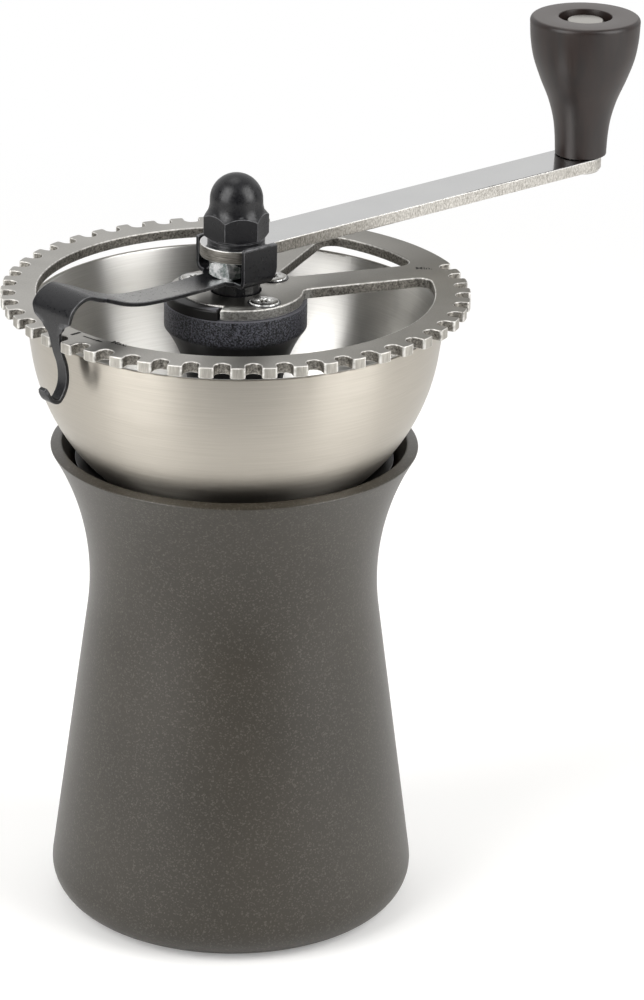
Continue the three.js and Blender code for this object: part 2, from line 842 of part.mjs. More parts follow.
function hub() {
  const flareShare = hubFlareTop / hubFlareSemiAxis;
  const flareWidth = (hubRadius - hubFootRadius) / (1 - Math.sqrt(1 - flareShare ** 2));
  const flareEnd = 180 - toDegrees(Math.asin(flareShare));
  const top = hubHeight + hubPadRise;
  const blank = revolve([
    point(boreRadius, 0),
    ...ellipse(hubFootRadius + flareWidth, 0, flareWidth, hubFlareSemiAxis, 180, flareEnd),
    ...arc(hubRadius - hubEdgeRounding, top - hubEdgeRounding, hubEdgeRounding, 0, 90, fineArcStep),
    point(boreRadius, top),
  ], middleTurn);
  const edge = toDegrees(gap / wheelHubRadius);
  const padFrom = wheelCutoutStart + 2 * edge;
  const padTo = wheelCutoutEnd - 2 * edge;
  const above = 2 * overrun + hubPadRise;
  const planed = cylinder(hubRadius + overrun, above, hubHeight, middleTurn);
  const padShape = sector(2 * hubRadius, padFrom, padTo, above + 2 * overrun, hubHeight - overrun);
  const padBore = cylinder(wheelHubBandRadius + gap, above + 2 * overrun, hubHeight - overrun, middleTurn);
  const pocket = plate(hexagon(insertAcrossFlats + 2 * gap), [], insertDepth + gap + overrun, hubHeight - insertDepth - gap);
  const holes = hubScrewAngles.map((angle) => {
    const at = polar(hubScrewCircle, angle);
    const depth = hubScrewDepth + gap;
    return cylinder(hubScrewRadius + gap, depth + overrun, hubHeight - depth, screwTurn).translate(at.x, at.y, 0);
  });
  return cut(blank, cut(planed, cut(padShape, padBore)), pocket, ...holes);
}

function threadedInsert() {
  const body = plate(hexagon(insertAcrossFlats), [], insertDepth);
  const boss = cylinder(insertBossRadius, insertDepth + insertBossRise - overrun, overrun);
  return cut(join(body, boss), cylinder(boreRadius, 2 * (insertDepth + insertBossRise), -overrun));
}

// Cog wheel: a notched ring on two spokes, with a hub plate that has a cut-out over the pad.

function notchedOutline() {
  const half = notchWidth / 2;
  const bottom = wheelRadius - notchDepth + half;
  const mouth = toDegrees(Math.asin(half / wheelRadius));
  const outline = [];
  for (let i = 0; i < notchCount; i += 1) {
    const angle = firstNotchAngle + i * notchAngle;
    const notch = [
      polar(wheelRadius, -mouth),
      ...arc(bottom, 0, half, 270, 90, 2 * fineArcStep),
      polar(wheelRadius, mouth),
    ];
    outline.push(...turned(notch, angle));
  }
  const lastNotch = firstNotchAngle + (notchCount - 1) * notchAngle;
  const plain = arc(0, 0, wheelRadius, lastNotch + mouth, firstNotchAngle + 360 - mouth, arcStep / 2);
  return [...outline, ...plain.slice(1, -1)];
}

// The open space from one spoke round to the next; hubEdge draws its side along the hub, inwards and back.
function wheelWindow(fromSpoke, toSpoke, hubEdge) {
  const half = spokeWidth / 2;
  const hubReach = wheelHubRadius + spokeHubFillet;
  const rimReach = wheelInnerRadius - spokeRimFillet;
  const hubTurn = toDegrees(Math.asin((half + spokeHubFillet) / hubReach));
  const rimTurn = toDegrees(Math.asin((half + spokeRimFillet) / rimReach));
  const rimFrom = polar(rimReach, fromSpoke + rimTurn);
  const rimTo = polar(rimReach, toSpoke - rimTurn);
  const hubFrom = polar(hubReach, fromSpoke + hubTurn);
  const hubTo = polar(hubReach, toSpoke - hubTurn);
  const corner = 2 * arcStep;
  return [
    ...arc(rimFrom.x, rimFrom.y, spokeRimFillet, fromSpoke + 270, fromSpoke + rimTurn + 360, corner),
    ...arc(0, 0, wheelInnerRadius, fromSpoke + rimTurn, toSpoke - rimTurn, arcStep / 2).slice(1, -1),
    ...arc(rimTo.x, rimTo.y, spokeRimFillet, toSpoke - rimTurn, toSpoke + 90, corner),
    ...arc(hubTo.x, hubTo.y, spokeHubFillet, toSpoke + 90, toSpoke - hubTurn + 180, corner),
    ...hubEdge(toSpoke - hubTurn, fromSpoke + hubTurn),
    ...arc(hubFrom.x, hubFrom.y, spokeHubFillet, fromSpoke + hubTurn + 180, fromSpoke + 270, corner),
  ];
}

function plainHubEdge(from, to) {
  return arc(0, 0, wheelHubRadius, from, to).slice(1, -1);
}

function cutoutHubEdge(from, to) {
  return [
    ...arc(0, 0, wheelHubRadius, from, wheelCutoutEnd).slice(1),
    ...arc(0, 0, wheelHubBandRadius, wheelCutoutEnd, wheelCutoutStart),
    ...arc(0, 0, wheelHubRadius, wheelCutoutStart, to).slice(0, -1),
  ];
}

function cogWheel() {
  const holes = [
    wheelWindow(spokeAngles[0], spokeAngles[1], plainHubEdge),
    wheelWindow(spokeAngles[1], spokeAngles[0] + 360, cutoutHubEdge),
    circle(insertBossRadius + gap, smallTurn),
    ...hubScrewAngles.map((angle) => {
      const at = polar(hubScrewCircle, angle);
      return circle(hubScrewRadius + gap, screwTurn, at.x, at.y);
    }),
  ];
  return plate(notchedOutline(), holes, wheelThickness);
}

// Crank: a flat bar with a round eye over the shaft and a full round end under the knob.

function crankArm() {
  const half = crankWidth / 2;
  const filletHeight = half + crankEyeFillet;
  const filletX = Math.sqrt((crankEyeRadius + crankEyeFillet) ** 2 - filletHeight ** 2);
  const filletAngle = toDegrees(Math.atan2(filletHeight, filletX));
  const outline = [
    ...arc(crankLength - crankEndInset, 0, half, -90, 90, 2 * arcStep),
    ...arc(filletX, filletHeight, crankEyeFillet, 270, 180 + filletAngle, 2 * arcStep),
    ...arc(0, 0, crankEyeRadius, filletAngle, 360 - filletAngle, 2 * arcStep),
    ...arc(filletX, -filletHeight, crankEyeFillet, 180 - filletAngle, 90, 2 * arcStep),
  ];
  const eye = flattedCircle(shaftRadius + gap, shaftTopFlat + gap);
  return plate(outline, [eye, circle(knobPinRadius + gap, smallTurn, crankLength, 0)], crankThickness);
}

// Index strip: its centre line from the bracket out over the wheel, down through a notch and round its curl.
// Each point is a share of the reach from the axis and a share of the drop, from the bracket's mid-plane.
const stripShares = [
  [0.1, 0],
  [0.3, 0],
  [0.45, 0.01],
  [0.57, 0.035],
  [0.66, 0.09],
  [0.745, 0.185],
  [0.81, 0.27],
  [0.86, 0.325],
  [0.905, 0.37],
  [0.945, 0.345],
  [0.98, 0.275],
  [0.998, 0.2],
  [1, 0.09],
  [0.987, -0.16],
  [0.972, -0.36],
  [0.95, -0.56],
  [0.945, -0.75],
  [0.956, -0.88],
  [0.99, -1],
  [1.03, -0.945],
  [1.056, -0.8],
];

// How wide the strip is along its way: share of the way, and width.
const stripWidthShares = [
  [0, armWidth],
  [0.475, armWidth],
  [0.514, headWidth],
  [0.645, headWidth],
  [0.708, fingerWidth],
  [1, fingerWidth],
];

const stripSteps = 44;

function stripWidth(share) {
  const next = Math.max(1, stripWidthShares.findIndex(([at]) => at >= share));
  const [fromShare, fromWidth] = stripWidthShares[next - 1];
  const [toShare, toWidth] = stripWidthShares[next];
  return lerp(fromWidth, toWidth, (share - fromShare) / (toShare - fromShare));
}

function stripPath() {
  const points = stripShares.map(([x, z]) => new THREE.Vector3(x * stripReach, 0, z * stripDrop));
  return new THREE.CatmullRomCurve3(points, false, 'centripetal');
}

// The strip from one share of its way to another, heading along +X from the bracket's mid-plane.
function strip(from, to) {
  const path = stripPath();
  const steps = Math.round(stripSteps * (to - from));
  const across = new THREE.Vector3(0, 1, 0);
  const half = stripThickness / 2;
  const rings = Array.from({ length: steps + 1 }, (_, i) => {
    const share = lerp(from, to, i / steps);
    const middle = path.getPointAt(share);
    const normal = new THREE.Vector3().crossVectors(path.getTangentAt(share), across);
    const side = stripWidth(share) / 2;
    return [[-side, -half], [side, -half], [side, half], [-side, half]].map(([y, n]) => (
      middle.clone().addScaledVector(across, y).addScaledVector(normal, n)
    ));
  });
  return skin(rings);
}

function indexBracket() {
  const outer = flangeInner + stripThickness;
  const bend = outer - bendRadius - stripThickness;
  const bendTop = bendRadius + stripThickness;
  const section = [
    ...arc(bend, bendTop, bendTop, -90, 0, fineArcStep),
    point(outer, flangeHeight),
    point(flangeInner, flangeHeight),
    ...arc(bend, bendTop, bendRadius, 0, -90, fineArcStep),
    ...arc(-bend, bendTop, bendRadius, -90, -180, fineArcStep),
    point(-flangeInner, flangeHeight),
    point(-outer, flangeHeight),
    ...arc(-bend, bendTop, bendTop, 180, 270, fineArcStep),
  ];
  const channel = upright(section, flangeLength).rotateZ(Math.PI / 2).translate(flangeOffset, 0, 0);
  const front = flangeOffset + flangeLength / 2;
  const back = flangeOffset - flangeLength / 2;
  const top = flangeHeight - flangeTopRounding;
  const elevation = upright([
    point(back, 0),
    ...arc(front - flangeFootRounding, flangeFootRounding, flangeFootRounding, -90, 0, 2 * arcStep),
    ...arc(front - flangeTopRounding, top, flangeTopRounding, 0, 90, fineArcStep),
    ...arc(back + flangeTopRounding, top, flangeTopRounding, 90, 180, fineArcStep),
  ], 4 * outer);
  const cheeks = common(channel, elevation).rotateZ(toRadians(crankAzimuth));
  const arm = strip(0, stripSplitShare).translate(0, 0, stripThickness / 2).rotateZ(toRadians(fingerAzimuth));
  const disc = cylinder(bracketDiscRadius, stripThickness, 0, middleTurn);
  const bore = plate(flattedCircle(shaftRadius + gap, shaftTopFlat + gap), [], 4 * stripThickness, -stripThickness);
  return cut(join(cheeks, disc, arm), bore.rotateZ(toRadians(crankAzimuth)));
}

function indexFinger() {
  const seam = gap / stripPath().getLength();
  return strip(stripSplitShare + seam, 1);
}

// Knob: a slender turned foot that swells to a wide flat top with a recess for the pin's head.
// Each point is a share of the height below the top edge's rounding and a share of the top radius.
const knobLevels = 8;

const knobShares = [
  [0, 0.47],
  [0.12, 0.485],
  [0.25, 0.525],
  [0.4, 0.625],
  [0.56, 0.785],
  [0.72, 0.92],
  [0.86, 0.98],
  [1, 1],
];

function knob() {
  const shoulder = knobHeight - knobTopRounding;
  const side = new THREE.SplineCurve(knobShares.map(([z, r]) => point(r * knobTopRadius, z * shoulder)));
  const bore = knobBushRadius + gap;
  const recessFloor = knobHeight - knobRecessDepth;
  return revolve([
    point(bore, 0),
    ...side.getPoints(knobLevels),
    ...arc(knobTopRadius - knobTopRounding, shoulder, knobTopRounding, fineArcStep, 90, fineArcStep),
    point(knobRecessRadius, knobHeight),
    point(knobRecessRadius, recessFloor),
    point(bore, recessFloor),
  ], middleTurn);
}

function knobPin() {
  const headZ = knobZ + knobHeight - knobRecessDepth + gap - crankZ;
  return revolve([
    point(0, -knobPinRivetHeight),
    point(knobPinRivetRadius, -knobPinRivetHeight),
    point(knobPinRivetRadius, 0),
    point(knobPinRadius, 0),
    point(knobPinRadius, headZ),
    point(knobPinHeadRadius, headZ),
    point(knobPinHeadRadius, headZ + knobPinHeadHeight),
    point(0, headZ + knobPinHeadHeight),
  ], smallTurn);
}

// Assembly

const grinder = new THREE.Group();
place(grinder, 'wooden_receptacle', receptacle(), lacquer, 0, 0, 0);

// What lifts off with the bowl
const hopper = new THREE.Group();
grinder.add(hopper);
place(hopper, 'hopper_bowl', bowl(), brushedSteel, 0, 0, bowlZ);
place(hopper, 'seating_collar', collar(), blackPlastic, 0, 0, ledgeZ);
place(hopper, 'collar_seal', seal(), rubber, 0, 0, ledgeZ - sealDrop);
place(hopper, 'burr_housing', burrHousing(), zincPlate, 0, 0, housingZ);
place(hopper, 'outer_burr', outerBurr(), burrSteel, 0, 0, outerBurrZ);
place(hopper, 'burr_clip', burrClip(), burrSteel, 0, 0, outerBurrZ - clipThickness);
place(hopper, 'bearing_column', column(), blackPlastic, 0, 0, columnZ);
place(hopper, 'lower_bush', lowerBush(), brass, 0, 0, lowerBushZ);
place(hopper, 'upper_bush', ring(bushRadius, boreRadius, upperBushLength, smallTurn), brass,
  0, 0, thrustWasherZ - upperBushLength);
place(hopper, 'burr_spring', spring(), burrSteel, 0, 0, innerBurrTopZ + gap);
spiderAngles.forEach((angle, i) => {
  const at = polar(columnScrewCircle, angle);
  const length = spiderThickness + bowlWall + collarPlateThickness + columnScrewBite;
  const screw = capScrew(columnScrewRadius, length, columnScrewHeadRadius, columnScrewHeadHeight, gap);
  place(hopper, `column_screw_${i + 1}`, screw, blackOxide, at.x, at.y, columnZ + spiderThickness);
});

// What the crank turns
place(hopper, 'thrust_washer', thrustWasher(), brass, 0, 0, thrustWasherZ, crankAzimuth);
place(hopper, 'adjuster_hub', hub(), blackPlastic, 0, 0, hubZ);
place(hopper, 'threaded_insert', threadedInsert(), blackOxide, 0, 0, wheelZ - insertDepth);
place(hopper, 'cog_wheel', cogWheel(), brushedSteel, 0, 0, wheelZ);
hubScrewAngles.forEach((angle, i) => {
  const at = polar(hubScrewCircle, angle);
  const length = hubScrewDepth + wheelThickness;
  const screw = capScrew(hubScrewRadius, length, hubScrewHeadRadius, hubScrewHeadHeight, hubScrewCrown);
  place(hopper, `hub_screw_${i + 1}`, screw, zincPlate, at.x, at.y, wheelTopZ);
});

// What rises and falls with the shaft
const drive = new THREE.Group();
hopper.add(drive);
place(drive, 'drive_shaft', shaft(), blackOxide, 0, 0, shaftZ, crankAzimuth);
place(drive, 'inner_burr', innerBurr(), burrSteel, 0, 0, innerBurrZ, crankAzimuth);
place(drive, 'burr_washer', ring(burrWasherRadius, shaftEndRadius + gap, burrWasherThickness, smallTurn),
  zincPlate, 0, 0, burrWasherZ);
place(drive, 'burr_nut', nut(burrNutAcrossFlats, burrNutHeight, shaftEndRadius + gap), zincPlate, 0, 0, burrNutZ);
place(drive, 'index_bracket', indexBracket(), blackOxide, 0, 0, bracketZ);
place(drive, 'index_finger', indexFinger(), blackOxide, 0, 0, bracketZ + stripThickness / 2, fingerAzimuth);
place(drive, 'lock_nut', nut(nutAcrossFlats, lockNutHeight, boreRadius), zincPlate, 0, 0, lockNutZ, lockNutAngle);
place(drive, 'crank_arm', crankArm(), brushedSteel, 0, 0, crankZ, crankAzimuth);
place(drive, 'crank_washer', ring(crankWasherRadius, boreRadius, crankWasherThickness, smallTurn), zincPlate,
  0, 0, crankTopZ);
place(drive, 'dome_nut', domeNut(), blackOxide, 0, 0, domeNutZ, domeNutAngle);

// The knob on its pin at the crank's end
const pin = polar(crankLength, crankAzimuth);
place(drive, 'knob_pin', knobPin(), burrSteel, pin.x, pin.y, crankZ);
place(drive, 'knob_washer', ring(knobWasherRadius, knobPinRadius + gap, knobWasherThickness, smallTurn), zincPlate,
  pin.x, pin.y, crankTopZ);
place(drive, 'knob_bush', ring(knobBushRadius, knobPinRadius + gap, knobHeight - knobRecessDepth, smallTurn), brass,
  pin.x, pin.y, knobZ);
place(drive, 'wooden_knob', knob(), lacquer, pin.x, pin.y, knobZ);

console.log(`least gap of the spring to itself: ${springLeastGap().toFixed(2)} mm`);

export default grinder;
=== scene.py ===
"""The looks of a manual coffee grinder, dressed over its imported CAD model.

A lacquered wooden receptacle carries a brushed steel bowl. Over the bowl lies a cog wheel that sets the
grind, and a flat steel crank with a wooden knob turns the shaft in the middle.
"""

import math

import bmesh
import bpy
from mathutils import Matrix, Vector
from mathutils.geometry import tessellate_polygon


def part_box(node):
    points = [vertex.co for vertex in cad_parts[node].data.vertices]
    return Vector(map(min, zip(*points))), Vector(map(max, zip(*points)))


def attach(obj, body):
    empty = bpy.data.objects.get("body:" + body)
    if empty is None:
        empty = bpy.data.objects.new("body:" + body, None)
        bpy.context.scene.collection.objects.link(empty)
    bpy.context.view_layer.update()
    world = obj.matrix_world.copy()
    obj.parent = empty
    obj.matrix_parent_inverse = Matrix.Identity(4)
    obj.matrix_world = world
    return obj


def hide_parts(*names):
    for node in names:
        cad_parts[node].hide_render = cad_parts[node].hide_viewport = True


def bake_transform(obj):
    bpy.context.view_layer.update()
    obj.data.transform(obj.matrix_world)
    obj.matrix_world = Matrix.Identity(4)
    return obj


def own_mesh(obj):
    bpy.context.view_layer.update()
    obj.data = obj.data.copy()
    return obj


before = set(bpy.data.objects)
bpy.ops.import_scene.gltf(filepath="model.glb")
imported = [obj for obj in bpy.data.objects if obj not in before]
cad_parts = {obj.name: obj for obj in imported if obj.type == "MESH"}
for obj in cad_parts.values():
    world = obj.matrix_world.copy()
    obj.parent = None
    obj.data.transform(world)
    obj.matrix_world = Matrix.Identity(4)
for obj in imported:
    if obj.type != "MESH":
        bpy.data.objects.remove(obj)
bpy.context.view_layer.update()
mm = 0.001


# Camera, studio and table.
# A long lens looks down on the grinder by a little over twenty degrees. The room is a white tent that gives
# even light; the side behind the camera is dimmer, which is what draws dark lines into bright metal.

CAMERA_PLACE = Vector((0, -948.06, 473.49)) * mm
CAMERA_PITCH = 0.3767
CAMERA_YAW = 0.0213
CAMERA_ROLL = 0.0162
CAMERA_LENS_MM = 159.84
SENSOR_MM = 36
NEAR_CLIP = 0.05
FAR_CLIP = 20
BACKDROP = 0.84
CEILING = 0.4
DARK_SIDE = 0.1
LIT_POINT = Vector((0, 0, 0.11))
TABLE_HALF = 3.0
TABLE_LIFT = 0.2
SHADOW_REACH = 0.3
PAPER_END = 0.1
PAPER_FADE = 0.16
# Soft boxes, by place, width, height and power: a tall one at either side, and one overhead.
SOFT_BOXES = {
    "left box": ((-0.67, -0.515, 0.6), 0.66, 1.0, 9.1),
    "right box": ((0.79, -0.38, 0.6), 0.66, 1.0, 9.0),
    "top box": ((-0.1, 0.2, 1.1), 0.5, 0.5, 1.2),
}


def show(thing):
    """Puts an object into the scene."""
    bpy.context.scene.collection.objects.link(thing)
    return thing


forward = Vector((
    math.sin(CAMERA_YAW) * math.cos(CAMERA_PITCH),
    math.cos(CAMERA_YAW) * math.cos(CAMERA_PITCH),
    -math.sin(CAMERA_PITCH),
))
level = forward.cross(Vector((0, 0, 1))).normalized()
upright = level.cross(forward)
camera_x = math.cos(CAMERA_ROLL) * level + math.sin(CAMERA_ROLL) * upright
camera_y = -math.sin(CAMERA_ROLL) * level + math.cos(CAMERA_ROLL) * upright
camera_data = bpy.data.cameras.new("camera")
camera_data.lens = CAMERA_LENS_MM
camera_data.sensor_width = SENSOR_MM
camera_data.clip_start = NEAR_CLIP
camera_data.clip_end = FAR_CLIP
camera = show(bpy.data.objects.new("camera", camera_data))
turn = Matrix((camera_x, camera_y, -forward)).transposed()
camera.matrix_world = Matrix.Translation(CAMERA_PLACE) @ turn.to_4x4()
bpy.context.scene.camera = camera
bpy.context.scene.view_settings.view_transform = "Standard"


def add(tree, kind, sockets=None, **settings):
    """Adds a node. Each socket, by name or number, takes a plain value or another node's output."""
    node = tree.nodes.new(kind)
    for name, value in settings.items():
        setattr(node, name, value)
    for name, value in (sockets or {}).items():
        if isinstance(value, bpy.types.NodeSocket):
            tree.links.new(value, node.inputs[name])
        else:
            node.inputs[name].default_value = value
    return node


def empty_tree(owner):
    """Switches a world or a material over to nodes, and clears them."""
    owner.use_nodes = True
    owner.node_tree.nodes.clear()
    return owner.node_tree


def srgb(colour):
    """Turns an sRGB hex value into the linear colour that a shader takes."""
    parts = [int(colour[i:i + 2], 16) / 255 for i in (1, 3, 5)]
    return (*[p / 12.92 if p <= 0.04045 else ((p + 0.055) / 1.055) ** 2.4 for p in parts], 1)


# The helpers from here on add a node to the tree of the socket that they are given, and return its output.


def calc(operation, *values):
    """A sum of sockets' values and plain numbers."""
    tree = next(v for v in values if isinstance(v, bpy.types.NodeSocket)).id_data
    return add(tree, "ShaderNodeMath", dict(enumerate(values)), operation=operation).outputs[0]


def ranged(value, low, high, start=0.0, stop=1.0, smooth=False):
    """Runs from start to stop while a value goes from low to high, and stays within them."""
    return add(value.id_data, "ShaderNodeMapRange", {
        "Value": value, "From Min": low, "From Max": high, "To Min": start, "To Max": stop,
    }, interpolation_type="SMOOTHSTEP" if smooth else "LINEAR").outputs[0]


def between(share, low, high):
    """A value between two."""
    return add(share.id_data, "ShaderNodeMix", {0: share, 2: low, 3: high}, data_type="FLOAT").outputs[0]


def mixed(share, low, high):
    """A colour between two, each a hex value or a socket."""
    low, high = [srgb(colour) if isinstance(colour, str) else colour for colour in (low, high)]
    return add(share.id_data, "ShaderNodeMix", {0: share, 6: low, 7: high}, data_type="RGBA").outputs[2]


def split(vector):
    """A vector's parts, by X, Y and Z."""
    return add(vector.id_data, "ShaderNodeSeparateXYZ", {0: vector}).outputs


def vector_calc(operation, sockets):
    """A sum of vectors."""
    return add(sockets[0].id_data, "ShaderNodeVectorMath", sockets, operation=operation).outputs


def length(vector):
    """A vector's length."""
    return vector_calc("LENGTH", {0: vector})["Value"]


# The tent: a white backdrop, a grey ceiling, and darkness behind the camera. Only metal and lacquer see it;
# the camera sees pure white.
world = bpy.data.worlds.new("white tent")
bpy.context.scene.world = world
tree = empty_tree(world)
rays = add(tree, "ShaderNodeLightPath").outputs
way = split(add(tree, "ShaderNodeTexCoord").outputs["Generated"])
backdrop = ranged(way["Y"], 0.1, 0.4, 0, BACKDROP - DARK_SIDE, smooth=True)
ceiling = ranged(way["Z"], 0.45, 0.95, 0, CEILING - DARK_SIDE, smooth=True)
room = calc("ADD", calc("MAXIMUM", backdrop, ceiling), DARK_SIDE)
clear = calc("MAXIMUM", rays["Is Camera Ray"], rays["Is Transmission Ray"])
tent = add(tree, "ShaderNodeBackground", {"Color": (1, 1, 1, 1), "Strength": between(clear, room, 1.0)})
add(tree, "ShaderNodeOutputWorld", {"Surface": tent.outputs[0]})

for name, (place, width, height, power) in SOFT_BOXES.items():
    lamp = bpy.data.lights.new(name, "AREA")
    lamp.shape = "RECTANGLE"
    lamp.size = width
    lamp.size_y = height
    lamp.energy = power
    aim = (LIT_POINT - Vector(place)).to_track_quat("-Z", "Y")
    box = show(bpy.data.objects.new(name, lamp))
    box.matrix_world = Matrix.Translation(place) @ aim.to_matrix().to_4x4()

# The table is matt white paper on a dark floor: the paper ends in front of the grinder, and that is what
# darkens the middle of the lacquer. What the camera sees of it is lifted to white, and the shadow stays.
corners = [(x * TABLE_HALF, y * TABLE_HALF, 0) for x, y in ((-1, -1), (1, -1), (1, 1), (-1, 1))]
table_mesh = bpy.data.meshes.new("table")
table_mesh.from_pydata(corners, [], [(0, 1, 2, 3)])
table = show(bpy.data.objects.new("table", table_mesh))
white_table = bpy.data.materials.new("matt white table")
tree = empty_tree(white_table)
from_camera = add(tree, "ShaderNodeLightPath").outputs["Is Camera Ray"]
spot = add(tree, "ShaderNodeTexCoord").outputs["Object"]
in_front = ranged(split(spot)["Y"], -PAPER_END, -PAPER_END - PAPER_FADE, smooth=True)
in_middle = ranged(calc("ABSOLUTE", split(spot)["X"]), PAPER_END + PAPER_FADE, PAPER_END, smooth=True)
dark_floor = calc("MULTIPLY", calc("MULTIPLY", in_front, in_middle), calc("SUBTRACT", 1.0, from_camera))
matt = add(tree, "ShaderNodeBsdfDiffuse", {"Color": mixed(dark_floor, "#efeeec", "#c0c0c0")}).outputs[0]
lift = add(tree, "ShaderNodeEmission", {"Color": (1, 1, 1, 1), "Strength": TABLE_LIFT}).outputs[0]
lifted = add(tree, "ShaderNodeAddShader", {0: matt, 1: lift}).outputs[0]
white = add(tree, "ShaderNodeEmission", {"Color": (1, 1, 1, 1), "Strength": 1.0}).outputs[0]
far_off = ranged(length(spot), SHADOW_REACH, 2 * SHADOW_REACH, smooth=True)
seen = add(tree, "ShaderNodeMixShader", {0: far_off, 1: lifted, 2: white}).outputs[0]
surface = add(tree, "ShaderNodeMixShader", {0: from_camera, 1: matt, 2: seen}).outputs[0]
add(tree, "ShaderNodeOutputMaterial", {"Surface": surface})
table_mesh.materials.append(white_table)


# Wooden receptacle.
# One turned piece of beech with a tapered foot, a waist and a flared neck, bored out from above for the
# ground coffee and sprayed inside and out with a satin grey-brown lacquer that carries fine metal flakes.

BODY_HEIGHT = 113.2 * mm
BODY_FOOT_RADIUS = 42.2 * mm
BODY_FOOT_ROUNDING = 8.5 * mm
BODY_WAIST_RADIUS = 33.2 * mm
BODY_NECK_HEIGHT = 32.8 * mm
BODY_LIP_RADIUS = 42.1 * mm
BODY_LIP_WIDTH = 2.6 * mm
BODY_LIP_FALL = 0.75 * mm
BODY_LEDGE_DEPTH = 17.2 * mm
BODY_SEAT_DEPTH = 3 * mm
BODY_SEAT_RADIUS = 31 * mm
BODY_BORE_RADIUS = 28.5 * mm
BODY_FLOOR = 8 * mm
BODY_FLOOR_CORNER = 5 * mm
BODY_EDGE = 0.45 * mm
BODY_FLAKE = 0.3 * mm
# Sharp edges are painted lighter, partly as wear and partly as a painted highlight: the turns in degrees at
# which this sets in and is full, and the size of its patches.
EDGE_LIGHTENING_FROM = 25
EDGE_LIGHTENING_TO = 36
EDGE_LIGHTENING_PATCH = 1.1 * mm
TINY = 1e-7


def arc(x, y, radius, start, stop, steps):
    """Points on an arc, from one angle to another in degrees."""
    angles = [math.radians(start + (stop - start) * i / steps) for i in range(steps + 1)]
    return [(x + radius * math.cos(a), y + radius * math.sin(a)) for a in angles]


def eased(before, corner, after, width):
    """Four points that round a corner, beginning and ending a width away from it."""
    corner = Vector(corner)
    back = Vector(before) - corner
    on = Vector(after) - corner
    cut = min(width, 0.45 * back.length, 0.45 * on.length)
    first = corner + back.normalized() * cut
    last = corner + on.normalized() * cut
    shares = (0, 0.33, 0.67, 1)
    return [tuple(first.lerp(corner, share).lerp(corner.lerp(last, share), share)) for share in shares]


def soften(points, width, least_turn=18):
    """Rounds each sharp corner of a closed outline, but none that lies on the axis."""
    soft = []
    for i, point in enumerate(points):
        here = Vector(point)
        after = points[(i + 1) % len(points)]
        back = Vector(points[i - 1]) - here
        on = Vector(after) - here
        turn_angle = math.degrees(math.pi - back.angle(on)) if back.length and on.length else 0
        if abs(here.x) < 1e-6 or turn_angle < least_turn:
            soft.append(tuple(here))
        else:
            soft += eased(points[i - 1], here, after, width)
    return soft


def mark_edges_for_wear_and_highlight(mesh):
    """Marks the points on sharp outward edges, for a material to paint them light as wear and highlight."""
    mesh.normal_update()
    worn_and_highlit = mesh.verts.layers.float.get("worn_and_highlit") or mesh.verts.layers.float.new("worn_and_highlit")
    for vert in mesh.verts:
        turns = [edge.calc_face_angle_signed(0) for edge in vert.link_edges if edge.is_contiguous]
        sharpest = math.degrees(max(turns, default=0))
        vert[worn_and_highlit] = min(1, max(0, (sharpest - EDGE_LIGHTENING_FROM) / (EDGE_LIGHTENING_TO - EDGE_LIGHTENING_FROM)))


def to_object(mesh, name):
    """Makes an object of a bmesh."""
    data = bpy.data.meshes.new(name)
    mesh.to_mesh(data)
    mesh.free()
    return show(bpy.data.objects.new(name, data))


def shade_mesh(data, crease):
    """Shades a mesh smooth, except at corners sharper than the crease."""
    data.shade_smooth()
    data.set_sharp_from_angle(angle=math.radians(crease))


def finish_mesh(mesh, name, material, crease=32):
    """Makes a finished object of a bmesh, its faces turned outwards and its edges marked."""
    bmesh.ops.remove_doubles(mesh, verts=mesh.verts, dist=TINY)
    bmesh.ops.recalc_face_normals(mesh, faces=mesh.faces)
    mark_edges_for_wear_and_highlight(mesh)
    thing = to_object(mesh, name)
    shade_mesh(thing.data, crease)
    thing.data.materials.append(material)
    return thing


def loft(name, rings, material, closed=False, crease=32):
    """Skins a stack of rings of points; a ring of one point closes an end, and so does a flat face."""
    mesh = bmesh.new()
    made = [[mesh.verts.new(point) for point in ring] for ring in rings]
    pairs = list(zip(made, made[1:]))
    if closed:
        pairs.append((made[-1], made[0]))
    for low, high in pairs:
        for i in range(max(len(low), len(high))):
            below, above = [(ring[i % len(ring)], ring[(i + 1) % len(ring)]) for ring in (low, high)]
            quad = list(dict.fromkeys((*below, *above[::-1])))
            if len(quad) > 2:
                mesh.faces.new(quad)
    if not closed:
        for end in (made[0], made[-1]):
            if len(end) > 2:
                mesh.faces.new(end)
    return finish_mesh(mesh, name, material, crease)


def level_ring(radius_at, height, count, centre=(0, 0)):
    """A level ring of points, its radius a number or a function of the angle."""
    ring = []
    for i in range(count):
        angle = 2 * math.pi * i / count
        radius = radius_at(angle) if callable(radius_at) else radius_at
        ring.append((centre[0] + radius * math.cos(angle), centre[1] + radius * math.sin(angle), height))
    return ring


def lathe(name, profile, material, sides=160, centre=(0, 0)):
    """Turns a closed cross-section of radius and height about an upright axis."""
    rings = [level_ring(radius, height, sides if radius > TINY else 1, centre) for radius, height in profile]
    return loft(name, rings, material, closed=True)


body_waist_z = BODY_HEIGHT - BODY_NECK_HEIGHT
neck_rise = BODY_NECK_HEIGHT - BODY_LIP_FALL
neck_flare = BODY_LIP_RADIUS - BODY_WAIST_RADIUS
neck_radius = (neck_rise ** 2 + neck_flare ** 2) / (2 * neck_flare)
neck_x = BODY_WAIST_RADIUS + neck_radius
mouth_radius = BODY_LIP_RADIUS - BODY_LIP_WIDTH
mouth_curve = math.hypot(neck_x - mouth_radius, BODY_NECK_HEIGHT)
foot_x = BODY_FOOT_RADIUS - BODY_FOOT_ROUNDING
between_centres = Vector((neck_x - foot_x, body_waist_z - BODY_FOOT_ROUNDING))
lean = math.acos((neck_radius + BODY_FOOT_ROUNDING) / between_centres.length)
taper = math.degrees(math.atan2(between_centres.y, between_centres.x) - lean)


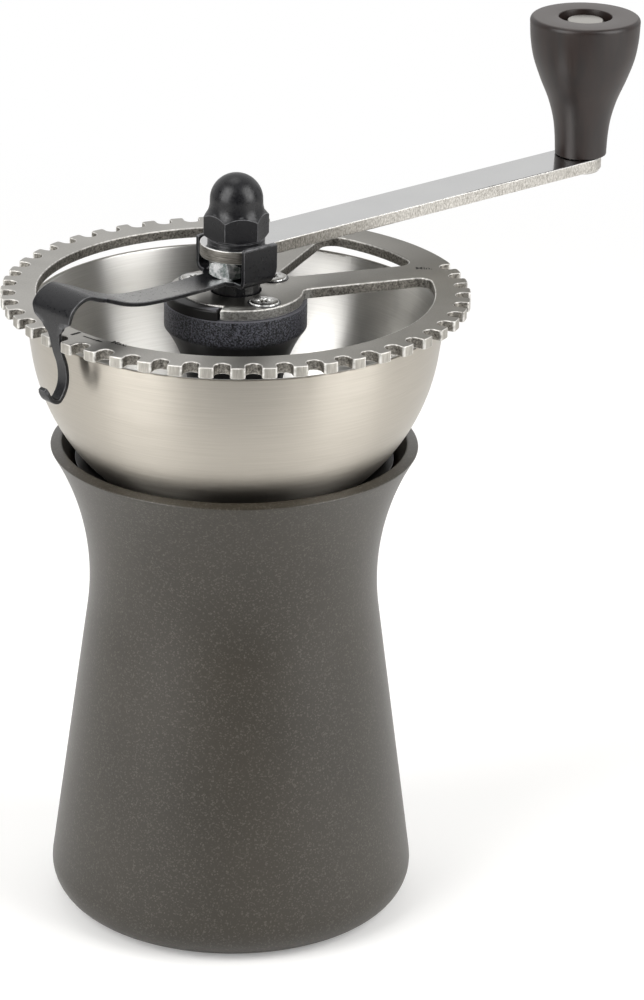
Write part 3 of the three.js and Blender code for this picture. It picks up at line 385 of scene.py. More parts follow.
def neck_curve(radius, from_z, to_z, steps):
    """Points on a curve about the centre of the neck's flare, from one height to another."""
    start = 180 - math.degrees(math.asin((from_z - body_waist_z) / radius))
    stop = 180 - math.degrees(math.asin((to_z - body_waist_z) / radius))
    return arc(neck_x, body_waist_z, radius, start, stop, steps)


def steps(*values):
    """The corners of a stepped outline, from radii and heights by turns."""
    pairs = list(zip(values, values[1:]))
    return [pair if i % 2 == 0 else pair[::-1] for i, pair in enumerate(pairs)]


body_ledge_z = BODY_HEIGHT - BODY_LEDGE_DEPTH
body_shoulder_z = body_ledge_z + BODY_SEAT_DEPTH
rim_angle = 180 - math.degrees(math.asin(neck_rise / neck_radius))
body_profile = [
    (0, 0),
    *arc(foot_x, BODY_FOOT_ROUNDING, BODY_FOOT_ROUNDING, -90, taper, 14),
    *arc(neck_x, body_waist_z, neck_radius, 180 + taper, rim_angle, 48),
    *neck_curve(mouth_curve, BODY_HEIGHT, body_shoulder_z, 18),
    (BODY_SEAT_RADIUS, body_shoulder_z),
    *steps(BODY_SEAT_RADIUS, body_ledge_z, BODY_BORE_RADIUS),
    *arc(BODY_BORE_RADIUS - BODY_FLOOR_CORNER, BODY_FLOOR + BODY_FLOOR_CORNER, BODY_FLOOR_CORNER, 0, -90, 8),
    (0, BODY_FLOOR),
]


def input_name(name):
    """The name of a shader's input, from its name as a Python word."""
    return name.replace("_", " ").title().replace("Ior", "IOR")


def start_material(name, colour, metallic, roughness, **more):
    """Starts a material: gives it, its shader, and the piece's own coordinates in metres."""
    material = bpy.data.materials.new(name)
    material.use_nodes = True
    shader = material.node_tree.nodes["Principled BSDF"]
    values = {"base_color": srgb(colour), "metallic": metallic, "roughness": roughness, **more}
    for key, value in values.items():
        shader.inputs[input_name(key)].default_value = value
    return material, shader, add(material.node_tree, "ShaderNodeTexCoord").outputs["Object"]


def wire(shader, **sockets):
    """Links sockets to a shader's inputs."""
    for key, socket in sockets.items():
        shader.id_data.links.new(socket, shader.inputs[input_name(key)])


def noise(place, size, detail, roughness=0.5, distortion=0.0):
    """Soft noise about as coarse as a size in metres, or as 1 where the place is scaled already."""
    sockets = {"Vector": place, "Scale": 1 / size, "Detail": detail, "Roughness": roughness}
    return add(place.id_data, "ShaderNodeTexNoise", {**sockets, "Distortion": distortion}).outputs["Fac"]


def cells(place, size):
    """Irregular cells of a size, each with its own colour."""
    return add(place.id_data, "ShaderNodeTexVoronoi", {"Vector": place, "Scale": 1 / size}).outputs


def bump(shader, height, strength, depth):
    """Makes a shader's surface uneven."""
    skin = add(shader.id_data, "ShaderNodeBump", {"Height": height, "Strength": strength, "Distance": depth})
    wire(shader, normal=skin.outputs[0])


def lighten_edges_as_wear_and_highlight(shader, colour, light, metal_left=None):
    """Gives a shader its colour, painted lighter and less metallic on marked edges, as wear and highlight."""
    tree = shader.id_data
    worn_and_highlit = add(tree, "ShaderNodeAttribute", attribute_name="worn_and_highlit").outputs["Fac"]
    spots = noise(add(tree, "ShaderNodeTexCoord").outputs["Object"], EDGE_LIGHTENING_PATCH, 2)
    share = calc("MULTIPLY", worn_and_highlit, ranged(spots, 0.3, 0.6, 0.25))
    wire(shader, base_color=mixed(share, colour, light))
    if metal_left is not None:
        wire(shader, metallic=ranged(share, 0, 1, 1, metal_left))


# Satin lacquer with metal flakes: nearly matt, slightly blotchy, with single flakes that catch the light
# and a faint orange-peel surface. The flakes are drawn 0.3 mm wide so that they just show.
body_lacquer, shader, place = start_material(
    "sprayed_flake_lacquer", "#26231e", 0.0, 0.46, coat_weight=0.45, coat_roughness=0.32,
)
shine = add(place.id_data, "ShaderNodeSeparateColor", {0: cells(place, BODY_FLAKE)["Color"]}).outputs[0]
ground = mixed(ranged(noise(place, 32 * mm, 3), 0.35, 0.65), "#251f13", "#2c261b")
wire(shader, base_color=mixed(ranged(shine, 0.75, 1, 0, 0.24), ground, "#7e7a70"))
bump(shader, noise(place, 0.5 * mm, 2), 0.35, 0.04 * mm)

receptacle = lathe("receptacle_body", soften(body_profile, BODY_EDGE), body_lacquer, sides=192)
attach(receptacle, "receptacle")
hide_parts("wooden_receptacle")


# Seating collar.
# A black moulded collar that stands in the receptacle's mouth and carries the bowl, with a skirt that fits
# the bore and a dished ring round the bowl. The rubber ring in its groove keeps it from rattling.

SKIRT_RADIUS = 27.9 * mm
SKIRT_INNER_RADIUS = 25.4 * mm
SKIRT_DEPTH = 12 * mm
THROAT_RADIUS = 17.2 * mm
COLLAR_RISE = 7.3 * mm
COLLAR_PLATE = 4 * mm
COLLAR_RING_SINK = 3.8 * mm
COLLAR_RING_WIDTH = 2.2 * mm
COLLAR_EDGE = 0.35 * mm
MOUTH_GAP = 0.8 * mm
FIT_GAP = 0.3 * mm
SEAL_DROP = 6.7 * mm
SEAL_HALF_HEIGHT = 1.1 * mm
SEAL_HALF_WIDTH = 0.55 * mm
SEAL_RADIUS = 28.3 * mm
SEAL_GROOVE_DEPTH = 1 * mm
SEAL_POINTS = 20
BOWL_FLAT_RADIUS = 26 * mm

bowl_z = body_ledge_z + COLLAR_RISE
plate_z = bowl_z - COLLAR_PLATE
skirt_z = body_ledge_z - SKIRT_DEPTH
seal_z = body_ledge_z - SEAL_DROP
groove_half = SEAL_HALF_HEIGHT + FIT_GAP
ring_z = BODY_HEIGHT - COLLAR_RING_SINK
collar_outside = neck_curve(mouth_curve + MOUTH_GAP, body_shoulder_z + MOUTH_GAP, ring_z, 12)
collar_profile = [
    *steps(
        THROAT_RADIUS, plate_z, SKIRT_INNER_RADIUS, skirt_z, SKIRT_RADIUS, seal_z - groove_half,
        SKIRT_RADIUS - SEAL_GROOVE_DEPTH, seal_z + groove_half, SKIRT_RADIUS, body_ledge_z,
        BODY_SEAT_RADIUS - FIT_GAP, body_shoulder_z + FIT_GAP,
    ),
    *collar_outside,
    (collar_outside[-1][0] - COLLAR_RING_WIDTH, ring_z),
    (BOWL_FLAT_RADIUS + FIT_GAP, bowl_z),
    (THROAT_RADIUS, bowl_z),
]

# Moulded ABS with a fine spark-eroded grain: dull black, with a painted highlight along its sharp edges.
moulded_black, shader, place = start_material(
    "moulded_abs_black", "#1b1a19", 0.0, 0.5, specular_ior_level=0.3,
)
grain = noise(place, 0.25 * mm, 3)
wire(shader, roughness=ranged(grain, 0, 1, 0.3, 0.5))
lighten_edges_as_wear_and_highlight(shader, "#1b1a19", "#77767a")
bump(shader, grain, 0.25, 0.03 * mm)

collar = lathe("seat_collar", soften(collar_profile, COLLAR_EDGE), moulded_black)
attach(collar, "hopper")
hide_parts("seating_collar")

# Nitrile rubber: black and matt, with a dusty bloom.
nitrile, shader, place = start_material("nitrile_rubber", "#1e1d1c", 0.0, 0.85)
wire(shader, base_color=mixed(noise(place, 1.5 * mm, 4), "#171615", "#2a2927"))

seal_section = [
    (SEAL_RADIUS - SEAL_HALF_WIDTH + SEAL_HALF_WIDTH * math.cos(a), seal_z + SEAL_HALF_HEIGHT * math.sin(a))
    for a in [2 * math.pi * i / SEAL_POINTS for i in range(SEAL_POINTS)]
]
seal = lathe("seal_ring", seal_section, nitrile)
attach(seal, "hopper")
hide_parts("collar_seal")


# Hopper bowl.
# Pressed from one millimetre stainless sheet, with a flat bottom and a round throat. Both faces were brushed
# on a lathe, so fine lines run round them and stretch every reflection upright.

BOWL_RADIUS = 46.6 * mm
BOWL_WALL = 1 * mm
BOWL_RIM_RISE = 2.7 * mm
BOWL_FLARE_ANGLE = 8
BOWL_EDGE = 0.4 * mm
BOWL_STEPS = 36
BRUSH_LINE = 0.3 * mm
BRUSH_LENGTH = 16 * mm

bowl_centre = math.sqrt(BOWL_RADIUS ** 2 - BOWL_FLAT_RADIUS ** 2)
bowl_inner = BOWL_RADIUS - BOWL_WALL
flat_angle = math.degrees(math.asin(bowl_centre / BOWL_RADIUS))
floor_angle = math.degrees(math.asin((bowl_centre - BOWL_WALL) / bowl_inner))
bowl_centre_z = bowl_z + bowl_centre


def bowl_rim(radius):
    """Where the wall, which runs straight above its round part, comes to the rim."""
    angle = math.radians(BOWL_FLARE_ANGLE)
    rise = BOWL_RIM_RISE + radius * math.sin(angle)
    return radius * math.cos(angle) + rise * math.tan(angle), bowl_centre_z + BOWL_RIM_RISE


bowl_profile = [
    (THROAT_RADIUS, bowl_z),
    *arc(0, bowl_centre_z, BOWL_RADIUS, -flat_angle, -BOWL_FLARE_ANGLE, BOWL_STEPS),
    bowl_rim(BOWL_RADIUS),
    bowl_rim(bowl_inner),
    *arc(0, bowl_centre_z, bowl_inner, -BOWL_FLARE_ANGLE, -floor_angle, BOWL_STEPS),
    (THROAT_RADIUS, bowl_z + BOWL_WALL),
]


def flat_of(place):
    """A place without its height."""
    parts = split(place)
    return add(place.id_data, "ShaderNodeCombineXYZ", {"X": parts["X"], "Y": parts["Y"]}).outputs[0]


# Brushed stainless steel: warm grey outside, and painted lighter and more neutral inside, as painted
# reflection. It is glossy along the brush lines only. The lines are noise whose place runs slowly round the
# axis and fast upwards.
brushed_steel, shader, place = start_material(
    "brushed_stainless_steel", "#cfcac2", 1.0, 0.32, anisotropic=0.9, anisotropic_rotation=0.25,
)
tree = shader.id_data
round_way = vector_calc("NORMALIZE", {0: flat_of(place)})[0]
along = vector_calc("SCALE", {0: round_way, "Scale": BOWL_RADIUS / BRUSH_LENGTH})[0]
lines_up = calc("MULTIPLY", split(place)["Z"], 1 / BRUSH_LINE)
upwards = add(tree, "ShaderNodeCombineXYZ", {"Z": lines_up}).outputs[0]
brush = noise(vector_calc("ADD", {0: along, 1: upwards})[0], 1, 4, 0.6)
facing = add(tree, "ShaderNodeTexCoord").outputs["Normal"]
outwards = vector_calc("DOT_PRODUCT", {0: round_way, 1: facing})["Value"]
outside_painted_darker = calc("GREATER_THAN", outwards, 0.05)
brush_colour_with_painted_light = mixed(outside_painted_darker, mixed(brush, "#b5b3af", "#d6d5d2"), mixed(brush, "#b3ada2", "#cdc7bd"))
round_tangent = add(tree, "ShaderNodeTangent", direction_type="RADIAL", axis="Z").outputs[0]
wire(shader, base_color=brush_colour_with_painted_light, roughness=ranged(brush, 0.25, 0.75, 0.28, 0.36), tangent=round_tangent)
bump(shader, brush, 0.2, 0.02 * mm)

bowl = lathe("brushed_bowl", soften(bowl_profile, BOWL_EDGE), brushed_steel, sides=192)
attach(bowl, "hopper")
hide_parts("hopper_bowl")


# Burr housing, burrs and bushes.
# Below the bowl hangs the cast housing with the hardened outer burr in it, held by a clip. The inner burr
# turns inside on the shaft, held by a washer and a nut. The shaft runs in sintered bronze bushes.

HOUSING_WALL = 2.2 * mm
HOUSING_HEAD = 6 * mm
HOUSING_EDGE = 0.3 * mm
CLIP_DEPTH = 1.2 * mm
CLIP_GROOVE = 1.8 * mm

# Hardened and blackened carbon steel of the burrs: dark grey, unevenly coloured by the heat.
burr_steel, shader, place = start_material("hardened_burr_steel", "#7d7a75", 1.0, 0.38)
mill = noise(place, 0.6 * mm, 5)
wire(shader, base_color=mixed(mill, "#5d5a56", "#a09c95"), roughness=ranged(mill, 0, 1, 0.28, 0.5))

# Pressure-cast zinc, barrel-polished: light grey and softly mottled.
cast_zinc, shader, place = start_material("cast_zinc", "#8e8c88", 1.0, 0.45)
cast = noise(place, 1.2 * mm, 4)
wire(shader, roughness=ranged(cast, 0, 1, 0.36, 0.56))
bump(shader, cast, 0.2, 0.05 * mm)

# Sintered bronze: brown-gold and porous.
bronze, shader, place = start_material("sintered_bronze", "#a9874f", 1.0, 0.4)
bump(shader, cells(place, 0.35 * mm)["Distance"], 0.2, 0.03 * mm)


def refinish(material, *nodes):
    """Gives solids that are shown as they are a better material."""
    for node in nodes:
        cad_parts[node].data.materials[0] = material


refinish(burr_steel, "outer_burr", "inner_burr", "burr_clip")
refinish(bronze, "lower_bush", "upper_bush", "thrust_washer", "knob_bush")

housing_low, housing_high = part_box("burr_housing")
burr_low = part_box("outer_burr")[0]
housing_radius = (housing_high[1] - housing_low[1]) / 2
housing_bore = housing_radius - HOUSING_WALL
head_z = housing_high[2] - HOUSING_HEAD
groove_z = burr_low[2] + FIT_GAP
housing_profile = steps(
    housing_bore, housing_low[2], housing_radius, housing_high[2], THROAT_RADIUS, head_z, housing_bore,
    groove_z, housing_bore + CLIP_DEPTH, groove_z - CLIP_GROOVE, housing_bore,
)
housing = lathe("cast_burr_housing", soften(housing_profile, HOUSING_EDGE), cast_zinc)
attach(housing, "hopper")
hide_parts("burr_housing")


# Adjuster hub.
# A flared black ABS housing under the cog wheel with a coarse leather-like grain on its side. A smooth pad
# stands up from it into the wheel's cut-out.

HUB_FOOT_RADIUS = 10.3 * mm
HUB_RADIUS = 16.2 * mm
HUB_BAND = 5.9 * mm
HUB_FLARE_SHARE = 0.776
HUB_FLARE_STEPS = 16
HUB_PAD_RISE = 2.3 * mm
HUB_PAD_SINK = 0.4 * mm
HUB_PAD_CORNER = 0.3 * mm
HUB_PAD_EDGE = 0.35 * mm
HUB_BORE = 4.3 * mm
HUB_EDGE = 0.3 * mm
HUB_GRAIN_FADE = 1 * mm
HUB_HIGHLIGHT_FROM = 0.24 * mm
HUB_HIGHLIGHT_FULL = 0.14 * mm
WHEEL_HUB_RADIUS = 15.3 * mm
WHEEL_BAND_RADIUS = 12.4 * mm
CUTOUT_START = 189
CUTOUT_STOP = 257
EDGE_MIDDLE = 0.3

hub_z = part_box("adjuster_hub")[0][2]
wheel_low, wheel_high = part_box("cog_wheel")
wheel_z = wheel_low[2]
wheel_top = wheel_high[2]
flare_top = wheel_z - hub_z - HUB_BAND
flare_rise = flare_top / HUB_FLARE_SHARE
flare_width = (HUB_RADIUS - HUB_FOOT_RADIUS) / (1 - math.sqrt(1 - HUB_FLARE_SHARE ** 2))
flare_end = math.pi - math.asin(HUB_FLARE_SHARE)
flare_angles = [math.pi + (flare_end - math.pi) * i / HUB_FLARE_STEPS for i in range(HUB_FLARE_STEPS + 1)]
flare_x = HUB_FOOT_RADIUS + flare_width
hub_profile = [
    (HUB_BORE, hub_z),
    *[(flare_x + flare_width * math.cos(a), hub_z + flare_rise * math.sin(a)) for a in flare_angles],
    (HUB_RADIUS, wheel_z),
    (HUB_BORE, wheel_z),
]

# Grained ABS: the mould's leather grain, 0.4 mm, breaks up every highlight, and grey specks are painted into
# the colour as these highlights. The taper below the band was left smooth, and a thin light line painted
# round the top stands in for the highlight on its edge.
grained_black, shader, place = start_material("grained_abs_black", "#232226", 0.0, 0.42)
height = split(place)["Z"]
on_band = ranged(height, hub_z + flare_top - HUB_GRAIN_FADE, hub_z + flare_top + HUB_GRAIN_FADE)
speck_highlight = calc("MULTIPLY", ranged(noise(place, 0.4 * mm, 2, 0.6), 0.42, 0.66), on_band)
top_edge_highlight = ranged(height, wheel_z - HUB_HIGHLIGHT_FROM, wheel_z - HUB_HIGHLIGHT_FULL)
wire(shader, base_color=mixed(top_edge_highlight, mixed(speck_highlight, "#08080a", "#5a5b64"), "#4c4c52"))
bump(shader, speck_highlight, 0.6, 0.1 * mm)

hub = lathe("hub_housing", soften(hub_profile, HUB_EDGE), grained_black, sides=128)
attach(hub, "adjuster")
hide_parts("adjuster_hub")


def left_inset(points, width):
    """Moves a closed outline to the left of its own way round, by the same width everywhere."""
    inset = []
    for i, point in enumerate(points):
        here = Vector(point)
        before = (here - Vector(points[i - 1])).normalized()
        after = (Vector(points[(i + 1) % len(points)]) - here).normalized()
        square = Vector((-before.y, before.x))
        side = Vector((-before.y - after.y, before.x + after.x))
        if side.length < 1e-6:
            side = square.copy()
        side.normalize()
        inset.append(tuple(here + side * width / max(0.5, side.dot(square))))
    return inset


def directed(outline, leftwards):
    """An outline that runs to the left about its inside, or else to the right."""
    area = sum(a[0] * b[1] - b[0] * a[1] for a, b in zip(outline, outline[1:] + outline[:1])) / 2
    return outline if (area > 0) == leftwards else outline[::-1]


def side_walls(mesh, outline, low, high, edge, middle_share=EDGE_MIDDLE, insets=None):
    """Stands a wall with broken edges on an outline; with insets of its own it stays open at its ends.

    Gives the outline at its foot and top, and its points there.
    """
    small, middle = insets or [left_inset(outline, share * edge) for share in (1, middle_share)]
    levels = [
        (small, low), (middle, low + middle_share * edge), (outline, low + edge),
        (outline, high - edge), (middle, high - middle_share * edge), (small, high),
    ]
    rings = [[mesh.verts.new((x, y, z)) for x, y in points] for points, z in levels]
    count = len(outline)
    for lower, upper in zip(rings, rings[1:]):
        for i in range(count - 1 if insets else count):
            mesh.faces.new((lower[i], lower[(i + 1) % count], upper[(i + 1) % count], upper[i]))
    return small, rings[0], rings[-1]


def close_plate(mesh, walls):
    """Lays the lower and the upper face between a plate's walls, the outermost wall first."""
    flat = tessellate_polygon([[Vector((x, y, 0)) for x, y in outline] for outline, _, _ in walls])
    for which in (1, 2):
        verts = [vert for wall in walls for vert in wall[which]]
        for triangle in flat:
            chosen = [verts[i] for i in triangle]
            if len(set(chosen)) == 3:
                face = mesh.faces.new(chosen)
                face.normal_update()
                if (face.normal.z > 0) != (which == 2):
                    face.normal_flip()


def plate(name, outline, holes, low, high, edge, material):
    """Makes a flat plate with holes, its edges broken by a small bevel, from one height to another."""
    mesh = bmesh.new()
    loops = [directed(outline, True)] + [directed(hole, False) for hole in holes]
    close_plate(mesh, [side_walls(mesh, loop, low, high, edge) for loop in loops])
    return finish_mesh(mesh, name, material, crease=20)


def circle(x, y, radius, steps):
    """A closed circle of points."""
    return arc(x, y, radius, 0, 360, steps)[:-1]


pad_gap = math.degrees(2 * FIT_GAP / WHEEL_HUB_RADIUS)
pad_outline = [
    *arc(0, 0, HUB_RADIUS - HUB_EDGE, CUTOUT_START + pad_gap, CUTOUT_STOP - pad_gap, 24),
    *arc(0, 0, WHEEL_BAND_RADIUS + FIT_GAP, CUTOUT_STOP - pad_gap, CUTOUT_START + pad_gap, 16),
]
pad_low, pad_high = wheel_z - HUB_PAD_SINK, wheel_z + HUB_PAD_RISE
pad_outline = soften(pad_outline, HUB_PAD_CORNER)
pad = plate("hub_pad", pad_outline, [], pad_low, pad_high, HUB_PAD_EDGE, moulded_black)
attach(pad, "adjuster")


# Cog wheel.
# Blanked from 2.5 mm spring steel and tumbled: its faces are satin, and its sides are sheared, bright at the
# teeth and dark and torn in the notches. 41 round-bottomed notches run round the rim, for the index finger.

WHEEL_RADIUS = 52.99 * mm
WHEEL_INNER_RADIUS = 44.9 * mm
NOTCH_ANGLE = 7.5
NOTCH_COUNT = 41
FIRST_NOTCH = 79.4
NOTCH_WIDTH = 3.5 * mm
NOTCH_DEPTH = 3.4 * mm
TOOTH_ROUNDING = 0.7 * mm
TOOTH_EDGE = 0.26 * mm
SPOKES = (18.5, 68)
SPOKE_WIDTH = 9.2 * mm
SPOKE_HUB_FILLET = 2 * mm
SPOKE_RIM_FILLET = 3 * mm
WHEEL_EDGE = 0.35 * mm
WHEEL_EDGE_MIDDLE = 0.29
INSERT_BOSS_RADIUS = 5.5 * mm
SCREW_CIRCLE = 11.4 * mm
SCREW_HOLE = 1.8 * mm
SCREW_START = -56
SCREW_STEP = 100
RIM_JOINT = 47.2 * mm
RIM_STEPS = 3
MERGE_WITHIN = 0.002 * mm
TOOTH_END_DEPTH = 0.15 * mm
HUB_WALL_REACH = 16.5 * mm
SPOKE_WALL_FROM = 18 * mm


def polar(radius, degrees):
    """A point at an angle about the axis."""
    return radius * math.cos(math.radians(degrees)), radius * math.sin(math.radians(degrees))


def window(from_spoke, to_spoke, hub_edge):
    """The opening from one spoke round to the next, with filleted corners."""
    half = SPOKE_WIDTH / 2
    hub_reach = WHEEL_HUB_RADIUS + SPOKE_HUB_FILLET
    rim_reach = WHEEL_INNER_RADIUS - SPOKE_RIM_FILLET
    hub_turn = math.degrees(math.asin((half + SPOKE_HUB_FILLET) / hub_reach))
    rim_turn = math.degrees(math.asin((half + SPOKE_RIM_FILLET) / rim_reach))
    rim_from, rim_to = polar(rim_reach, from_spoke + rim_turn), polar(rim_reach, to_spoke - rim_turn)
    hub_from, hub_to = polar(hub_reach, from_spoke + hub_turn), polar(hub_reach, to_spoke - hub_turn)
    rim_steps = max(8, round((to_spoke - from_spoke) / 2))
    return [
        *arc(*rim_from, SPOKE_RIM_FILLET, from_spoke + 270, from_spoke + rim_turn + 360, 8),
        *arc(0, 0, WHEEL_INNER_RADIUS, from_spoke + rim_turn, to_spoke - rim_turn, rim_steps)[1:-1],
        *arc(*rim_to, SPOKE_RIM_FILLET, to_spoke - rim_turn, to_spoke + 90, 8),
        *arc(*hub_to, SPOKE_HUB_FILLET, to_spoke + 90, to_spoke - hub_turn + 180, 6),
        *hub_edge(to_spoke - hub_turn, from_spoke + hub_turn),
        *arc(*hub_from, SPOKE_HUB_FILLET, from_spoke + hub_turn + 180, from_spoke + 270, 6),
    ]


def plain_hub_edge(start, stop):
    """The hub plate's edge between the spokes."""
    return arc(0, 0, WHEEL_HUB_RADIUS, start, stop, 8)[1:-1]


def cutout_hub_edge(start, stop):
    """The hub plate's edge on the other side, with the cut-out for the pad."""
    return [
        *arc(0, 0, WHEEL_HUB_RADIUS, start, CUTOUT_STOP, 24)[1:],
        *arc(0, 0, WHEEL_BAND_RADIUS, CUTOUT_STOP, CUTOUT_START, 20),
        *arc(0, 0, WHEEL_HUB_RADIUS, CUTOUT_START, stop, 24)[:-1],
    ]


def upward(place):
    """How far the surface faces up."""
    return split(add(place.id_data, "ShaderNodeTexCoord").outputs["Normal"])["Z"]


def stretched(place, across, upright):
    """A place scaled for noise that has one size across and another upwards."""
    scale = (1 / across, 1 / across, 1 / upright)
    return add(place.id_data, "ShaderNodeMapping", {"Vector": place, "Scale": scale}).outputs[0]


# Blanked spring steel: satin ground faces, painted darker towards one side as shade, bright striped tooth
# ends, dark torn walls elsewhere, and a painted highlight along the sharp edges. One material tells them
# apart by where the surface faces and how far out it lies.
blanked_steel, shader, place = start_material("blanked_spring_steel", "#aaa7a1", 1.0, 0.3)
is_face = calc("GREATER_THAN", calc("ABSOLUTE", upward(place)), 0.5)
reach = length(flat_of(place))
is_rim = calc("GREATER_THAN", reach, WHEEL_RADIUS - TOOTH_END_DEPTH)
tumbled = noise(place, 0.45 * mm, 4, 0.65)
face_share = ranged(calc("ADD", tumbled, noise(place, 14 * mm, 2)), 0.75, 1.25)
shaded_side = ranged(split(place)["X"], -0.3 * WHEEL_RADIUS, WHEEL_RADIUS, smooth=True)
shaded_face_colour = mixed(face_share, "#6c6960", "#807c74")
face_colour = mixed(shaded_side, mixed(face_share, "#a3a09a", "#b8b5af"), shaded_face_colour)
stripes = noise(stretched(place, 0.22 * mm, 2.5 * mm), 1, 3)
torn = noise(place, 0.55 * mm, 5, 0.7)
torn_share = ranged(torn, 0.35, 0.68)
near_hub = ranged(reach, SPOKE_WALL_FROM, HUB_WALL_REACH)
far_wall = mixed(torn_share, "#504d48", "#b0aca4")
wall_colour = mixed(near_hub, far_wall, mixed(torn_share, "#7d7b77", "#c4c2bd"))
side_colour = mixed(is_rim, wall_colour, mixed(stripes, "#7d7a73", "#d6d2ca"))
# The sharp edges are painted near white and less metallic, as a painted highlight.
lighten_edges_as_wear_and_highlight(shader, mixed(is_face, side_colour, face_colour), "#e9e7e2", metal_left=0.35)
wire(shader, roughness=between(is_face, ranged(torn, 0, 1, 0.35, 0.6), ranged(tumbled, 0, 1, 0.24, 0.36)))
bump(shader, between(is_face, between(is_rim, torn, stripes), 0.5), 0.6, 0.12 * mm)


def start_tree(name, sizes):
    """Starts a tree of geometry nodes with named sizes, and gives it and what flows into it."""
    tree = bpy.data.node_groups.new(name, "GeometryNodeTree")
    for socket, kind in {"Geometry": "Geometry", **sizes}.items():
        tree.interface.new_socket(socket, in_out="INPUT", socket_type="NodeSocket" + kind)
    tree.interface.new_socket("Geometry", in_out="OUTPUT", socket_type="NodeSocketGeometry")
    return tree, add(tree, "NodeGroupInput").outputs


def end_tree(tree, geometry, finish):
    """Ends a tree with the finish of what it has made."""
    finished = add(tree, "GeometryNodeSetMaterial", {"Geometry": geometry, "Material": finish})
    add(tree, "NodeGroupOutput", {0: finished.outputs[0]})
    return tree


def copies_tree():
    """A tree that sets copies of an object in a circle about the axis and joins them to what it is given."""
    tree, given = start_tree("copies in a circle", {
        "Copy": "Object", "Count": "Int", "First Angle": "Float", "Step Angle": "Float", "Radius": "Float",
        "Finish": "Material",
    })
    index = add(tree, "GeometryNodeInputIndex").outputs[0]
    angle = calc("RADIANS", calc("MULTIPLY_ADD", index, given["Step Angle"], given["First Angle"]))
    out = add(tree, "ShaderNodeCombineXYZ", {"X": given["Radius"]}).outputs[0]
    round_to = add(tree, "ShaderNodeVectorRotate", {"Vector": out, "Angle": angle}, rotation_type="Z_AXIS")
    points = add(tree, "GeometryNodePoints", {"Count": given["Count"], "Position": round_to.outputs[0]})
    copies = add(tree, "GeometryNodeInstanceOnPoints", {
        "Points": points.outputs[0],
        "Instance": add(tree, "GeometryNodeObjectInfo", {"Object": given["Copy"]}).outputs["Geometry"],
        "Rotation": add(tree, "ShaderNodeCombineXYZ", {"Z": angle}).outputs[0],
    })
    both = add(tree, "GeometryNodeJoinGeometry")
    tree.links.new(copies.outputs[0], both.inputs[0])
    tree.links.new(given["Geometry"], both.inputs[0])
    real = add(tree, "GeometryNodeRealizeInstances", {"Geometry": both.outputs[0]})
    seam = add(tree, "GeometryNodeMergeByDistance", {"Geometry": real.outputs[0], "Distance": MERGE_WITHIN})
    return end_tree(tree, seam.outputs[0], given["Finish"])


def keep_evaluated(thing):
    """Keeps what an object's modifiers make as its own plain mesh."""
    graph = bpy.context.evaluated_depsgraph_get()
    made = bpy.data.meshes.new_from_object(thing.evaluated_get(graph))
    thing.modifiers.clear()
    thing.data = made


def grow(thing, tree, sizes):
    """Runs a tree on an object with named sizes, and keeps the result."""
    modifier = thing.modifiers.new(tree.name, "NODES")
    modifier.node_group = tree
    for item in tree.interface.items_tree:
        if item.in_out == "INPUT" and item.name in sizes:
            modifier[item.identifier] = sizes[item.name]
    thing.update_tag()
    keep_evaluated(thing)
    shade_mesh(thing.data, 20)


copies_in_circle = copies_tree()


def join_copies(thing, copy, finish, count=1, first=0, step=0, radius=0.0):
    """Joins copies of an object to another, in a circle about the axis. The object itself goes."""
    grow(thing, copies_in_circle, {
        "Copy": copy, "Count": count, "First Angle": float(first), "Step Angle": float(step),
        "Radius": radius, "Finish": finish,
    })
    bpy.data.objects.remove(copy)


# One notch with half a tooth on either side, in the outer rim band, open where it joins its neighbours.
half_notch = NOTCH_WIDTH / 2
half_turn = NOTCH_ANGLE / 2
notch_bottom = WHEEL_RADIUS - NOTCH_DEPTH + half_notch
mouth_turn = math.degrees(math.asin(half_notch / WHEEL_RADIUS))
notch_start = polar(WHEEL_RADIUS, -half_turn)
notch_mouth = polar(WHEEL_RADIUS, -mouth_turn)
tooth_to_notch = eased(notch_start, notch_mouth, (notch_bottom, -half_notch), TOOTH_ROUNDING)
notch_outer = [
    notch_start,
    *tooth_to_notch,
    *arc(notch_bottom, 0, half_notch, 270, 90, 14),
    *[(x, -y) for x, y in reversed(tooth_to_notch)],
    polar(WHEEL_RADIUS, half_turn),
]


def rim_piece(name, outer, inner):
    """A piece of the rim band with bevelled outer edges, without faces where it joins the rest."""
    before = polar(WHEEL_RADIUS, math.degrees(math.atan2(outer[0][1], outer[0][0])) - 1)
    after = polar(WHEEL_RADIUS, math.degrees(math.atan2(outer[-1][1], outer[-1][0])) + 1)
    insets = []
    for width in (TOOTH_EDGE, TOOTH_EDGE * EDGE_MIDDLE):
        inset = left_inset([before, *outer, after, (0, 0)], width)[1:-2]
        for end in (0, -1):
            inset[end] = tuple(Vector(outer[end]) * (WHEEL_RADIUS - width) / WHEEL_RADIUS)
        insets.append(inset)
    mesh = bmesh.new()
    small, low, high = side_walls(mesh, outer, wheel_z, wheel_top, TOOTH_EDGE, insets=insets)
    inner_low, inner_high = [[mesh.verts.new((x, y, z)) for x, y in inner] for z in (wheel_z, wheel_top)]
    close_plate(mesh, [(small + inner, low + inner_low, high + inner_high)])
    mark_edges_for_wear_and_highlight(mesh)
    return to_object(mesh, name)


notch = rim_piece("one_notch", notch_outer, arc(0, 0, RIM_JOINT, half_turn, -half_turn, RIM_STEPS))
plain_from = FIRST_NOTCH + (NOTCH_COUNT - 0.5) * NOTCH_ANGLE
plain_to = FIRST_NOTCH - half_turn + 360
plain_steps = RIM_STEPS * 7
plain_rim = rim_piece(
    "plain_rim",
    arc(0, 0, WHEEL_RADIUS, plain_from, plain_to, 3 * plain_steps),
    arc(0, 0, RIM_JOINT, plain_to, plain_from, plain_steps),
)

